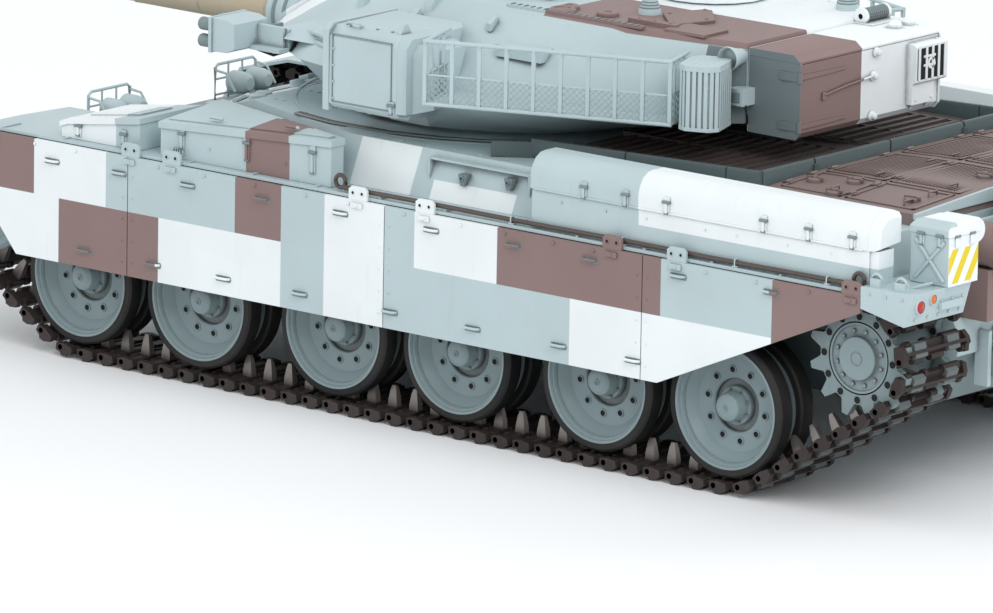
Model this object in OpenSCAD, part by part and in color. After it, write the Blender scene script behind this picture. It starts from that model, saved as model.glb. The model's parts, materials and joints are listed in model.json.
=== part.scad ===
// Model tank for radio control, at one sixteenth of full size.
// Row frame in millimetres: +Z is up, the gun points along -Y and the tank's left side is +X.
// The origin lies on the ground, at the middle of the overall length and width.

/* [Hull] */
// Half width of the lower hull tub
tub_half = 62; // [58:0.5:64]
// Height of the belly plate above the ground
belly_z = 32; // [26:0.5:36]
// Top face of the track guards
guard_z = 82.8; // [80:0.1:86]
// Height of the hull roof around the turret ring
roof_z = 99.4; // [96:0.1:104]
// Foremost point of the nose
nose_y = -122; // [-130:1:-115]
// Rear face of the hull
tail_y = 309; // [300:1:316]
// Half width of the upper hull where it meets the guards
side_low = 94.7; // [90:0.1:98]
// Half width of the upper hull at the roof
side_high = 87.5; // [82:0.1:92]
// Thickness of the hull plates
wall = 2.4; // [1.6:0.1:4]

/* [Running gear] */
// Distance of each track's centre from the middle of the tank
track_x = 85; // [80:0.5:88]
// Width of a track
track_w = 38.1; // [34:0.1:42]
// Thickness of a track from tyre to ground
track_t = 5.3; // [4:0.1:6.5]
// Number of links in a track
link_count = 96; // [80:1:110]
// Height of the guide horns
horn_h = 7; // [5:0.5:8]
// Radius of a road wheel over its tyres
wheel_r = 25; // [23:0.1:26]
// Outer face of the road wheels
wheel_face = 101.9; // [98:0.1:103]
// Width of one tyre
tyre_w = 7.5; // [6:0.1:9]
// Gap between the two tyres of a wheel
tyre_gap = 4.4; // [4:0.1:6]
// Distance between the wheels of one bogie
bogie_wheelbase = 57.3; // [54:0.1:60]
// Distance between the bogies
bogie_pitch = 121.35; // [118:0.05:124]
// Middle of the wheelbase
bogie_mid_y = 93.75; // [90:0.05:98]
// Position of the drive sprocket along the hull
sprocket_y = 300.8; // [296:0.1:304]
// Height of the drive sprocket
sprocket_z = 57.5; // [54:0.1:60]
// Pitch radius of the drive sprocket
sprocket_pitch_r = 19.7; // [18:0.1:21]
// Position of the idler along the hull
idler_y = -103; // [-108:0.1:-96]
// Height of the idler
idler_z = 53.5; // [50:0.1:56]
// Radius of the idler
idler_r = 19.7; // [18:0.1:21]

/* [Skirts and guards] */
// Outer face of the side skirts
skirt_x = 109.4; // [106:0.1:112]
// Lower edge of the side skirts
skirt_low = 37; // [34:0.5:42]
// Upper edge of the side skirts
skirt_top = 81.4; // [78:0.1:84]
// Thickness of the side skirts
skirt_t = 1.6; // [1:0.1:3]

/* [Turret and gun] */
// Centre of the turret ring along the hull
ring_y = 65.6; // [60:0.1:72]
// Radius of the opening in the hull roof
ring_r = 56; // [50:0.5:60]
// Height of the gun's axis
gun_z = 117.5; // [114:0.1:120]
// Pivot of the gun along the hull
trunnion_y = -18; // [-22:0.5:-14]
// Muzzle of the gun
muzzle_y = -337.5; // [-350:0.5:-300]
// Radius of the barrel's thermal sleeve
sleeve_r = 6.8; // [5:0.1:8]
// Height of the turret roof
turret_z = 145.6; // [140:0.1:150]

/* [Hidden] */

tyre_clear = 0.3;
wheel_z = track_t + tyre_clear + wheel_r;
wrap_r = wheel_r + tyre_clear;
sprocket_root_r = sprocket_pitch_r - 2.95;
sprocket_tip_r = sprocket_pitch_r + 1.55;
sprocket_wrap_r = sprocket_root_r + 0.35;
idler_wrap_r = idler_r + tyre_clear;
teeth = 12;
glacis_tilt = atan2(roof_z - guard_z - 0.05, 57.4);
hatch_y = -26;
hatch_z = guard_z + 0.05 + (hatch_y + 61.4) * tan(glacis_tilt);
ring_plane_out = 99.4;
ring_plane_in = 74;
ring_t = 3.2;
horn_x = wheel_face - tyre_w - tyre_gap / 2;
axle_r = 3;
run_clear = 0.08;
pivot_r = 3.5;
pivot_dy = 9.4;
pivot_z = 45;
roller_r = 7.6;
roller_y = [bogie_mid_y - bogie_pitch / 2, bogie_mid_y + bogie_pitch / 2];
top_in_z = min(sprocket_z + sprocket_wrap_r, idler_z + idler_wrap_r);
roller_z = top_in_z - tyre_clear - roller_r;
wheel_y = [
    bogie_mid_y - bogie_pitch - bogie_wheelbase / 2,
    bogie_mid_y - bogie_pitch + bogie_wheelbase / 2,
    bogie_mid_y - bogie_wheelbase / 2,
    bogie_mid_y + bogie_wheelbase / 2,
    bogie_mid_y + bogie_pitch - bogie_wheelbase / 2,
    bogie_mid_y + bogie_pitch + bogie_wheelbase / 2
];

paint_white = [0.86, 0.89, 0.91];
paint_grey = [0.66, 0.74, 0.76];
paint_brown = [0.47, 0.40, 0.39];
paint_beige = [0.73, 0.67, 0.58];
steel_dark = [0.23, 0.21, 0.20];
rubber_black = [0.10, 0.10, 0.11];
rail_black = [0.16, 0.19, 0.20];

// Track path: circles met in turn, each as [y, z, radius] of the inner face.
path = [
    [wheel_y[0], wheel_z, wrap_r],
    [wheel_y[5], wheel_z, wrap_r],
    [sprocket_y, sprocket_z, sprocket_wrap_r],
    [idler_y, idler_z, idler_wrap_r]
];

// Angle of the outward normal on the straight run from circle a to circle b.
function run_angle(a, b) =
    atan2(b[1] - a[1], b[0] - a[0])
    - acos((a[2] - b[2]) / norm([b[0] - a[0], b[1] - a[1]]));

function wrap_up(a, low) = a < low ? wrap_up(a + 360, low) : a;

function arc_span(i) = let(
    before = run_angle(path[(i + 3) % 4], path[i]),
    after = wrap_up(run_angle(path[i], path[(i + 1) % 4]), before)
) [before, after];

// Closed outline of the track at a given offset from its inner face.
function loop_points(offset_r) = [
    for (i = [0:3])
        let(span = arc_span(i), steps = ceil((span[1] - span[0]) / 7.5))
        for (k = [0:steps])
            let(a = span[0] + (span[1] - span[0]) * k / steps)
            [path[i][0] + (path[i][2] + offset_r) * cos(a),
             path[i][1] + (path[i][2] + offset_r) * sin(a)]
];

// Lengths of the eight pieces of the path at an offset: arc, run, arc, run and so on.
function piece_lengths(offset_r) = [
    for (i = [0:3])
        let(span = arc_span(i), next = path[(i + 1) % 4],
            d = norm([next[0] - path[i][0], next[1] - path[i][1]]))
        each [(path[i][2] + offset_r) * (span[1] - span[0]) * PI / 180,
              sqrt(d * d - pow(path[i][2] - next[2], 2))]
];

function total(list, n) = n < 0 ? 0 : list[n] + total(list, n - 1);

// Point on the inner face at distance s along it, as [y, z, outward angle].
function path_point(s, parts, k = 0) =
    s <= parts[k] || k == 7
    ? let(i = floor(k / 2), span = arc_span(i))
      (k % 2 == 0
       ? let(a = span[0] + (span[1] - span[0]) * s / parts[k])
         [path[i][0] + path[i][2] * cos(a), path[i][1] + path[i][2] * sin(a), a]
       : let(a = span[1])
         [path[i][0] + path[i][2] * cos(a) - s * sin(a),
          path[i][1] + path[i][2] * sin(a) + s * cos(a), a])
    : path_point(s - parts[k], parts, k + 1);

// Extrudes an outline drawn in Y and Z from x0 to x1.
module side_slab(x0, x1) {
    translate([x0, 0, 0])
        rotate([90, 0, 90])
            linear_extrude(x1 - x0)
                children();
}

// Extrudes an outline drawn in X and Z from y0 to y1.
module front_slab(y0, y1) {
    translate([0, y1, 0])
        rotate([90, 0, 0])
            linear_extrude(y1 - y0)
                children();
}

module both_sides() {
    children();
    mirror([1, 0, 0])
        children();
}

module on_side(side) {
    if (side > 0)
        children();
    else
        mirror([1, 0, 0])
            children();
}

// Round bar along X between x0 and x1.
module bar_x(x0, x1, y, z, r, sides = 32) {
    translate([x0, y, z])
        rotate([0, 90, 0])
            cylinder(h = x1 - x0, r = r, $fn = sides);
}

// Round bar along Y between y0 and y1.
module bar_y(y0, y1, x, z, r, sides = 32) {
    translate([x, y0, z])
        rotate([-90, 0, 0])
            cylinder(h = y1 - y0, r = r, $fn = sides);
}

module bar_z(z0, z1, x, y, r, sides = 32) {
    translate([x, y, z0])
        cylinder(h = z1 - z0, r = r, $fn = sides);
}

module block(x0, x1, y0, y1, z0, z1) {
    translate([x0, y0, z0])
        cube([x1 - x0, y1 - y0, z1 - z0]);
}

// ---------------------------------------------------------------- hull

module tub_outline(inset) {
    polygon([
        [-94 + inset, belly_z + inset], [296 - inset, belly_z + inset],
        [tail_y - inset, belly_z + 20], [tail_y - inset, guard_z + inset],
        [-62 + inset, guard_z + inset], [nose_y + inset, 66],
        [nose_y + inset, 61]
    ]);
}

module lower_hull() {
    color(paint_grey)
        difference() {
            union() {
                side_slab(-tub_half, tub_half)
                    tub_outline(0);
                // Final drive housings carry the sprocket shafts.
                both_sides() {
                    bar_x(tub_half - 1, 68.5, sprocket_y, sprocket_z, 13, 48);
                    bar_x(tub_half - 1, 98, sprocket_y, sprocket_z, 4.5);
                    bar_x(tub_half - 1, 70, idler_y, idler_z, 9);
                    bar_x(tub_half - 1, 100, idler_y, idler_z, 4.5);
                    for (y = roller_y)
                        bar_x(tub_half - 1, 94, y, roller_z, 2.5);
                }
            }
            side_slab(-tub_half + wall, tub_half - wall)
                tub_outline(wall);
            // Door opening for the battery in the belly.
            block(-25, 25, 60, 150, belly_z - 1, belly_z + wall + 1);
            // Slot for the power switch.
            block(-5, 5, 195, 211, belly_z - 1, belly_z + wall + 1);
        }
}

// Plan of the upper hull: narrow in front, full width behind the front bins.
module upper_plan(inset) {
    w = side_low - inset;
    polygon([
        [-66 + inset, 66], [-16, 66 - inset], [60, w], [tail_y - 6 - inset, w],
        [tail_y - 6 - inset, -w], [60, -w], [-16, inset - 66], [-66 + inset, inset - 66]
    ]);
}

module upper_side(inset) {
    polygon([
        [-61.4 + inset * 3, guard_z + 0.05], [-4, roof_z - inset],
        [tail_y - 6 - inset, roof_z - inset], [tail_y - inset, guard_z + 0.05]
    ]);
}

module upper_front(inset) {
    polygon([
        [-side_low + inset, guard_z + 0.05], [side_low - inset, guard_z + 0.05],
        [side_high - inset, roof_z - inset], [-side_high + inset, roof_z - inset]
    ]);
}

module upper_block(inset) {
    intersection() {
        side_slab(-120, 120)
            upper_side(inset);
        front_slab(-130, 330)
            upper_front(inset);
        translate([0, 0, guard_z - 5])
            rotate([0, 0, 90])
                mirror([0, 1, 0])
                    linear_extrude(30)
                        upper_plan(inset);
    }
}

module upper_hull() {
    color(paint_grey)
        difference() {
            union() {
                upper_block(0);
                // Low collar around the turret ring.
                translate([0, ring_y, roof_z - 1])
                    cylinder(h = 1.5, r = ring_r + 3, $fn = 96);
            }
            difference() {
                upper_block(wall);
                block(-95, 95, tail_y - 40, tail_y, guard_z - 2, roof_z);
            }
            bar_z(guard_z - 6, roof_z + 5, 0, ring_y, ring_r, 96);
            // Opening under the driver's hatch.
            bar_z(guard_z - 2, roof_z + 3, 0, hatch_y, 9, 48);
        }
}

// Driver's hatch lies on the sloping front plate and swings aside in its plane.
module driver_hatch() {
    color(paint_grey)
        translate([0, hatch_y, hatch_z])
            rotate([glacis_tilt, 0, 0])
                difference() {
                    union() {
                        bar_z(0.5, 2.4, 0, 0, 11, 48);
                        block(0, 15, -2.5, 2.5, 0.5, 2);
                        bar_z(0.5, 3.4, 15, 0, 2.8, 24);
                        block(-4, 4, -8.5, -3.5, 2.3, 4.6);
                    }
                    bar_z(1.9, 3, 0, 0, 2.5, 24);
                }
}

// Raised deck over the engine and gearbox, highest along the middle at the rear.
module engine_deck() {
    deck_low = roof_z + 0.05;
    color(paint_brown)
        difference() {
            union() {
                intersection() {
                    translate([0, 0, deck_low])
                        rotate([0, 0, 90])
                            mirror([0, 1, 0])
                                linear_extrude(12)
                                    polygon([
                                        [134, 66], [140, 72], [302, 74],
                                        [302, -74], [140, -72], [134, -66]
                                    ]);
                    side_slab(-80, 80)
                        polygon([
                            [135, deck_low], [142, 102.5], [236, 104.6],
                            [302, 106.2], [303, deck_low]
                        ]);
                    front_slab(110, 310)
                        polygon([
                            [-75, deck_low], [-75, 103], [-30, 106.5], [30, 106.5],
                            [75, 103], [75, deck_low]
                        ]);
                }
                // Hinges and lifting handles of the deck panels.
                both_sides()
                    for (y = [250, 262, 274, 286])
                        block(30, 33, y, y + 4, 103.6, 107.4);
            }
            // Cooling slots between the slats.
            for (y = [150:6:222])
                both_sides()
                    block(12, 60, y, y + 2.4, 101.2, 108);
            for (y = [244:4:288])
                both_sides()
                    block(4, 27, y, y + 1.4, 102.6, 108);
        }
}

module deck_rail() {
    color(rail_black) {
        both_sides()
            side_slab(73.25, 75.4)
                polygon([
                    [133, roof_z + 0.1], [133, 106.4], [236.2, 109.6], [236.2, roof_z + 0.1]
                ]);
        block(-73.2, 73.2, 234, 236.2, 106.8, 109.6);
        both_sides()
            translate([73.6, 134.4, roof_z + 0.1])
                rotate([0, 0, -52])
                    block(0, 16, -1.8, 0.6, 0, 6);
    }
}

module trackguards() {
    gx = skirt_x - skirt_t - 0.1;
    color(paint_grey)
        both_sides() {
            // Flat guard that slopes down ahead of the idler.
            side_slab(tub_half + 0.1, gx)
                polygon([
                    [307, guard_z - 1.2], [307, guard_z], [-97, guard_z], [-121, 76.3],
                    [-130.4, 62], [-129, 62], [-119.6, 75.4], [-96.5, guard_z - 1.2]
                ]);
            // Raised tail with its turned down side and rear edges.
            difference() {
                side_slab(75.5, skirt_x)
                    polygon([
                        [307.2, 77.4], [307.2, guard_z + 2.4], [329.2, guard_z + 2.4],
                        [326, 73.5]
                    ]);
                block(70, skirt_x - 1.6, 306, 326.4, 70, guard_z + 1.2);
            }
        }
}

module skirt_outline() {
    polygon([
        [-81, skirt_low], [219, skirt_low], [307, 73], [307, skirt_top],
        [-97, skirt_top], [-97, 55]
    ]);
}

// Side skirts in four plates with gaps between, brackets above and grab handles.
module skirt_panels() {
    color(paint_white)
        both_sides() {
            difference() {
                side_slab(skirt_x - skirt_t, skirt_x)
                    skirt_outline();
                for (y = [-26.7, 94.7, 211.9])
                    block(skirt_x - 0.7, skirt_x + 1, y - 0.25, y + 0.25, skirt_low - 1, skirt_top + 1);
            }
            for (y = [-20, 0, 88, 112, 190, 214, 292])
                difference() {
                    block(skirt_x - skirt_t, skirt_x - 0.2, y - 4, y + 4, skirt_top - 1, skirt_top + 5);
                    bar_x(skirt_x - 3, skirt_x + 2, y, skirt_top + 3, 1.2, 16);
                }
            for (y = [-60, -28, 4, 36, 70, 102, 134, 162, 194, 228])
                handle(y, 66);
            for (y = [-45, -12, 22, 57, 92, 127, 161, 196, 262])
                handle(y, y > 250 ? 68 : 46);
        }
}

module handle(y, z) {
    block(skirt_x - 0.1, skirt_x + 1.7, y - 3.2, y - 2.2, z - 0.5, z + 0.5);
    block(skirt_x - 0.1, skirt_x + 1.7, y + 2.2, y + 3.2, z - 0.5, z + 0.5);
    block(skirt_x + 0.9, skirt_x + 1.7, y - 3.2, y + 3.2, z - 0.5, z + 0.5);
}

// Closed lockers along both guards.
module stowage_bins() {
    color(paint_white)
        both_sides() {
            // Foremost bin with a rising lid.
            intersection() {
                side_slab(70, 105)
                    polygon([
                        [-64, guard_z + 0.1], [-64, 88.6], [-60, 90.2], [-25, 95],
                        [-25, guard_z + 0.1]
                    ]);
                front_slab(-70, -20)
                    polygon([[70, guard_z], [105, guard_z], [105, 91], [99, 96], [70, 96]]);
            }
            // Tapering bin beside the turret.
            intersection() {
                side_slab(60, 105)
                    polygon([
                        [-16, guard_z + 0.1], [-16, 96], [66, 101], [66, guard_z + 0.1]
                    ]);
                front_slab(-20, 70)
                    polygon([[60, guard_z], [105, guard_z], [105, 97.6], [100, 101], [60, 101]]);
                translate([0, 0, guard_z - 2])
                    linear_extrude(22)
                        polygon([[69.1, -16], [105, -16], [105, 66], [97, 66]]);
            }
            // Long bin at the rear.
            front_slab(158, 307.1)
                polygon([
                    [95.5, guard_z + 0.1], [105.6, guard_z + 0.1], [105.6, 102],
                    [103.4, 107.6], [99.5, 109.3], [91.5, 109.3], [91.5, roof_z + 0.2],
                    [95.5, guard_z + 6]
                ]);
            front_slab(308, 311.5)
                polygon([
                    [96, guard_z + 3], [103, guard_z + 3], [103, 100], [99, 107], [96, 107]
                ]);
        }
}

// Lockers, tow hooks and lamps across the rear plate.
module rear_fittings() {
    color(paint_grey) {
        both_sides() {
            block(74, 91.3, 314, 331, guard_z + 2.5, 108);
            bar_y(315, 330, 74, 104, 4, 32);
            block(80, 100, 329.2, 332, 76, 80);
            bar_y(329, 331.6, 103, 78, 2.6, 24);
            bar_y(329, 331.6, 96, 83, 1.8, 24);
            // Tow hooks.
            block(34, 46, tail_y, 316, 42, 58);
            bar_x(38, 42, 318, 48, 6, 32);
        }
        block(-36, 36, tail_y, 331, 84, 108);
        block(-20, 20, tail_y, 322, 50, 80);
        bar_y(tail_y, 337.5, 50, 92, 8, 48);
        bar_y(tail_y, 337.5, -50, 92, 8, 48);
        block(36, 44, tail_y, 314, 84, 100);
        block(-44, -36, tail_y, 314, 84, 100);
    }
}

// Steel tow cable clipped along the edge of the guard, with an upright eye at each end.
module tow_cable() {
    cable_x = 106.7;
    color(steel_dark)
        both_sides() {
            bar_y(74, 302.5, cable_x, 84.5, 0.9, 24);
            for (y = [72, 304.5])
                difference() {
                    bar_x(cable_x - 0.9, cable_x + 0.9, y, 86.6, 3.2, 32);
                    bar_x(cable_x - 2, cable_x + 2, y, 86.6, 1.6, 32);
                }
            for (y = [80, 110, 150, 200, 250, 290])
                block(105.7, 107.6, y, y + 2.2, guard_z + 0.05, 86);
        }
}

// Headlamp groups behind wire guards on the front plate.
module front_lamps() {
    color(paint_grey)
        both_sides() {
            block(26, 46, -98, -92, 71, 75.5);
            bar_y(-97, -88, 31, 79, 4.2, 32);
            bar_y(-97, -88, 41, 79, 4.2, 32);
            block(27, 45, -93, -90, 74, 80);
            difference() {
                block(24, 48, -101, -99.8, 68, 86);
                block(25.4, 46.6, -102, -98, 69.4, 84.6);
            }
            block(24, 26, -100, -92, 70, 72);
            block(46, 48, -100, -92, 70, 72);
        }
}

// ---------------------------------------------------------------- suspension

module bogie_brackets() {
    color(paint_grey)
        both_sides()
            for (k = [-1:1]) {
                c = bogie_mid_y + k * bogie_pitch;
                side_slab(tub_half, tub_half + 5)
                    polygon([
                        [c - 18, 38], [c + 18, 38], [c + 12, 56], [c + 7, 62],
                        [c - 7, 62], [c - 12, 56]
                    ]);
                for (s = [-1, 1]) {
                    bar_x(tub_half + 4, 76, c + s * pivot_dy, pivot_z, pivot_r);
                    bar_x(74.4, 76.4, c + s * pivot_dy, pivot_z, 4.6);
                }
                // Horizontal spring unit over the two arm pivots.
                bar_y(c - 13, c + 13, tub_half + 9.5, 56.5, 3.6);
                bar_y(c - 14.5, c - 13, tub_half + 9.5, 56.5, 4.6);
                bar_y(c + 13, c + 14.5, tub_half + 9.5, 56.5, 4.6);
                block(tub_half + 4, tub_half + 8, c - 5, c + 5, 54, 59);
            }
}

// Arm number n (0 to 5) from its pivot on the bogie to the axle of its wheel.
module arm(side, n) {
    c = bogie_mid_y + (floor(n / 2) - 1) * bogie_pitch;
    s = n % 2 == 0 ? -1 : 1;
    py = c + s * pivot_dy;
    wy = wheel_y[n];
    a = atan2(wheel_z - pivot_z, wy - py);
    d = norm([wheel_z - pivot_z, wy - py]);
    color(paint_grey)
        on_side(side)
            difference() {
                union() {
                    bar_x(tub_half + 5.6, 74, py, pivot_z, 6, 48);
                    side_slab(tub_half + 7.6, 73.4)
                        translate([py, pivot_z])
                            rotate(a)
                                polygon([[0, -4.6], [d, -3.8], [d, 3.8], [0, 4.6]]);
                    bar_x(tub_half + 7, 75, wy, wheel_z, 5.6, 48);
                    bar_x(74, 97, wy, wheel_z, axle_r);
                }
                bar_x(60, 78, py, pivot_z, pivot_r + run_clear);
            }
}

module wheel(side, y) {
    in_face = wheel_face - 2 * tyre_w - tyre_gap;
    rim_r = wheel_r * 0.875;
    on_side(side)
        translate([0, y, wheel_z])
            difference() {
                union() {
                    for (x = [in_face, wheel_face - tyre_w]) {
                        color(rubber_black)
                            bar_x(x, x + tyre_w, 0, 0, wheel_r, 96);
                        color(paint_grey)
                            bar_x(x + 0.2, x + tyre_w - 0.2, 0, 0, rim_r, 96);
                    }
                    color(paint_grey)
                        bar_x(76, wheel_face, 0, 0, 5.4, 48);
                    color(paint_grey)
                        bar_x(in_face - 1, wheel_face - 6, 0, 0, 11.4, 48);
                }
                // Outer dish, hub recess and bolt holes.
                difference() {
                    bar_x(wheel_face - 5.2, wheel_face + 1, 0, 0, 18, 96);
                    bar_x(wheel_face - 6, wheel_face + 1, 0, 0, 5.4, 48);
                }
                difference() {
                    bar_x(wheel_face - 8.7, wheel_face, 0, 0, 9.7, 48);
                    bar_x(wheel_face - 9, wheel_face + 1, 0, 0, 6.6, 48);
                }
                for (k = [0:9])
                    rotate([36 * k, 0, 0])
                        bar_x(wheel_face - 6.4, wheel_face, 12.6, 0, 1, 12);
                difference() {
                    bar_x(in_face - 1, in_face + 4, 0, 0, 18, 96);
                    bar_x(in_face - 2, in_face + 5, 0, 0, 11.4, 48);
                }
                bar_x(70, wheel_face - 4.6, 0, 0, axle_r + run_clear);
            }
}

module sprocket(side) {
    color(steel_dark)
        on_side(side)
            translate([0, sprocket_y, sprocket_z])
                difference() {
                    union() {
                        for (x = [ring_plane_in, ring_plane_out]) {
                            bar_x(x - ring_t / 2, x + ring_t / 2, 0, 0, sprocket_root_r, 96);
                            for (k = [0:teeth - 1])
                                rotate([k * 30 + 15, 0, 0])
                                    side_slab(x - ring_t / 2, x + ring_t / 2)
                                        polygon([
                                            [15, -3.1], [sprocket_tip_r, -1.4],
                                            [sprocket_tip_r, 1.4], [15, 3.1]
                                        ]);
                        }
                        bar_x(ring_plane_in, ring_plane_out, 0, 0, 13.1, 64);
                        bar_x(ring_plane_out, 102.2, 0, 0, 7.6, 48);
                    }
                    for (k = [0:teeth - 1])
                        rotate([k * 30, 0, 0])
                            for (x = [ring_plane_in, ring_plane_out])
                                bar_x(x - 4, x + 4, 14.75, 0, 1.3, 16);
                    bar_x(ring_plane_in - 4, 98.4, 0, 0, 4.5 + run_clear);
                    difference() {
                        bar_x(100.2, 104, 0, 0, 11.4, 48);
                        bar_x(99, 105, 0, 0, 7.7, 48);
                    }
                }
}

module idler(side) {
    color(paint_grey)
        on_side(side)
            translate([0, idler_y, idler_z])
                difference() {
                    union() {
                        bar_x(82.5, 90, 0, 0, idler_r, 96);
                        bar_x(94.4, wheel_face, 0, 0, idler_r, 96);
                        bar_x(71, wheel_face, 0, 0, 8, 48);
                    }
                    difference() {
                        bar_x(wheel_face - 4, wheel_face + 1, 0, 0, 16, 96);
                        bar_x(wheel_face - 5, wheel_face + 2, 0, 0, 8, 48);
                    }
                    for (k = [0:7])
                        rotate([45 * k, 0, 0])
                            bar_x(80, 104, 11.8, 0, 1.6, 16);
                    bar_x(70, 100.3, 0, 0, 4.5 + run_clear);
                }
}

module roller(side, y) {
    color(paint_grey)
        on_side(side)
            translate([0, y, roller_z])
                difference() {
                    union() {
                        bar_x(80, 90, 0, 0, roller_r, 48);
                        bar_x(94.4, 100, 0, 0, roller_r, 48);
                        bar_x(80, 100, 0, 0, 4.6, 32);
                    }
                    bar_x(79, 94.3, 0, 0, 2.5 + run_clear);
                }
}

// A closed band with guide horns; the grooves let the sprocket's teeth turn.
module track(side) {
    x0 = track_x - track_w / 2;
    x1 = track_x + track_w / 2;
    parts = piece_lengths(0);
    pitch = total(parts, 7) / link_count;
    color(steel_dark)
        on_side(side)
            difference() {
                union() {
                    side_slab(x0, x1)
                        difference() {
                            polygon(loop_points(track_t));
                            polygon(loop_points(0));
                        }
                    for (k = [0:link_count - 1]) {
                        p = path_point(k * pitch, parts);
                        translate([0, p[0], p[1]])
                            rotate([p[2], 0, 0])
                                side_slab(horn_x - 1.5, horn_x + 1.5)
                                    polygon([
                                        [0.6, -2.2], [0.6, 2.2], [-horn_h, 1.1], [-horn_h, -1.1]
                                    ]);
                    }
                }
                for (x = [ring_plane_in, ring_plane_out])
                    bar_x(
                        x - ring_t / 2 - 0.5, x + ring_t / 2 + 0.5,
                        sprocket_y, sprocket_z, sprocket_tip_r + 0.5, 96
                    );
                // Horns are shorter where they pass the drum and the roller hubs.
                bar_x(horn_x - 2.2, horn_x + 2.2, sprocket_y, sprocket_z, 13.8, 64);
                for (y = roller_y)
                    bar_x(horn_x - 2.1, horn_x + 2.1, y, roller_z, 5.4, 48);
            }
}

// ---------------------------------------------------------------- inside the hull

module battery_pack() {
    color([0.15, 0.30, 0.55])
        union() {
            block(-23, 23, 62, 148, belly_z + wall + 2.2, 60);
            block(-8, 8, 148, 154, 44, 52);
            for (x = [-15.3, 0, 15.3])
                bar_y(60.5, 149, x, 50, 7.4, 32);
        }
}

// Door under the battery, held in the belly and hinged along its left edge.
module battery_hatch() {
    color(paint_grey)
        union() {
            block(-24.6, 23.4, 60.4, 149.6, belly_z + 0.2, belly_z + wall - 0.2);
            for (y = [70, 105, 140])
                block(-20, 20, y - 1.5, y + 1.5, belly_z + 2, belly_z + wall + 1.4);
            bar_y(62, 148, 23.4, belly_z + 1.2, 1, 16);
        }
}

module control_board() {
    color([0.10, 0.35, 0.20])
        union() {
            block(-32, 32, 6, 44, 46, 47.6);
            for (c = [[-18, 16, 6], [6, 30, 8], [20, 14, 5]])
                block(c[0] - 5, c[0] + 5, c[1] - 5, c[1] + 5, 47.5, 47.5 + c[2]);
            for (x = [-26, -16, -6, 4, 14, 24])
                block(x - 2.5, x + 2.5, 38, 43, 47.5, 52);
            for (p = [[-29, 9], [29, 9], [-29, 41], [29, 41]])
                bar_z(belly_z + wall, 46.2, p[0], p[1], 2.4, 16);
        }
}

// Motors and gearboxes that drive the tracks and turn the turret.
module drive_units() {
    color([0.45, 0.46, 0.48])
        union() {
            both_sides() {
                block(20, tub_half - wall - 0.2, 262, 297.5, belly_z + 8, 78);
                bar_x(4, 22, 276, 52, 12, 48);
                bar_x(2, 5, 276, 52, 2, 16);
                block(24, 56, 258, 263, belly_z + 12, 70);
            }
            block(-6, 6, 262, 290, belly_z + wall, 41);
            // Traverse motor beside the turret ring.
            bar_z(62, 88, 0, 139, 11, 48);
            bar_z(87, 96.5, 0, 128.5, 5, 32);
            bar_z(84, 88.5, 0, 134, 12, 32);
            block(-16, 16, 130, 156, 60.6, 64);
            for (x = [-14, 14])
                block(x - 2, x + 2, 150, 156, belly_z + wall, 62);
        }
}

module power_switch() {
    color(rail_black)
        union() {
            block(-4, 4, 196, 203, belly_z + 0.4, belly_z + 5);
            block(-2, 2, 198, 201, belly_z - 1, belly_z + 1);
            block(-9, 9, 194.6, 205, belly_z + wall + 0.3, belly_z + 6);
        }
}

// ---------------------------------------------------------------- turret

module turret_slice(z, half, y_shift = 0) {
    n = len(half);
    translate([0, 0, z])
        linear_extrude(0.05)
            polygon(concat(
                [for (p = half) [p[1], p[0] + y_shift]],
                [for (i = [n - 1:-1:0]) [-half[i][1], half[i][0] + y_shift]]
            ));
}

slice_low = [for (a = [-80:20:80]) [ring_y + 66 * sin(a), 66 * cos(a)]];
slice_mid = [[-34, 19], [-14, 44], [16, 64], [56, 74], [106, 75], [150, 67], [188, 54], [203, 42]];
slice_top = [[10, 17], [36, 38], [74, 47], [160, 47], [203, 41]];

// Outer form of the cast turret, which the fittings are fitted against.
module turret_form() {
    hull() {
        turret_slice(gun_z, slice_mid);
        turret_slice(turret_z - 0.05, slice_top);
    }
    hull() {
        turret_slice(roof_z + 1.6, slice_low);
        turret_slice(gun_z, slice_mid);
    }
}

module turret_shell() {
    color(paint_white)
        difference() {
            union() {
                turret_form();
                bar_z(94, roof_z + 3, 0, ring_y, ring_r - 0.5, 96);
            }
            bar_z(85, turret_z - 5, 0, ring_y, 46, 96);
            bar_z(85, roof_z + 2.6, 0, ring_y, 50, 96);
            // Room for the wiring loom beside the servo.
            block(-36, 16, 54, 106, roof_z + 2, turret_z - 5);
            // Seat of the gun's rotor and room for the breech to swing.
            bar_x(-14.4, 14.4, trunnion_y, gun_z, 13.9, 96);
            block(-14.4, 14.4, -40, trunnion_y, gun_z - 16, gun_z + 18);
            block(-13, 13, trunnion_y, 30, gun_z - 15, gun_z + 13);
            // Opening under the loader's hatch.
            bar_z(turret_z - 8, turret_z + 2, 22, 86, 12, 64);
        }
}

// Rotor that fills the turret's front, with the trunnion pins and the breech.
module mantlet() {
    color(paint_white)
        difference() {
            union() {
                bar_x(-14, 14, trunnion_y, gun_z, 13.4, 96);
                bar_y(-44, trunnion_y, 0, gun_z, 10.4, 64);
                bar_y(-48, -44, 0, gun_z, 9.2, 64);
                block(-8, 8, trunnion_y, 2, gun_z - 7, gun_z + 7);
            }
            bar_y(-50, 10, 0, gun_z, 5.6, 48);
        }
}

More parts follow.
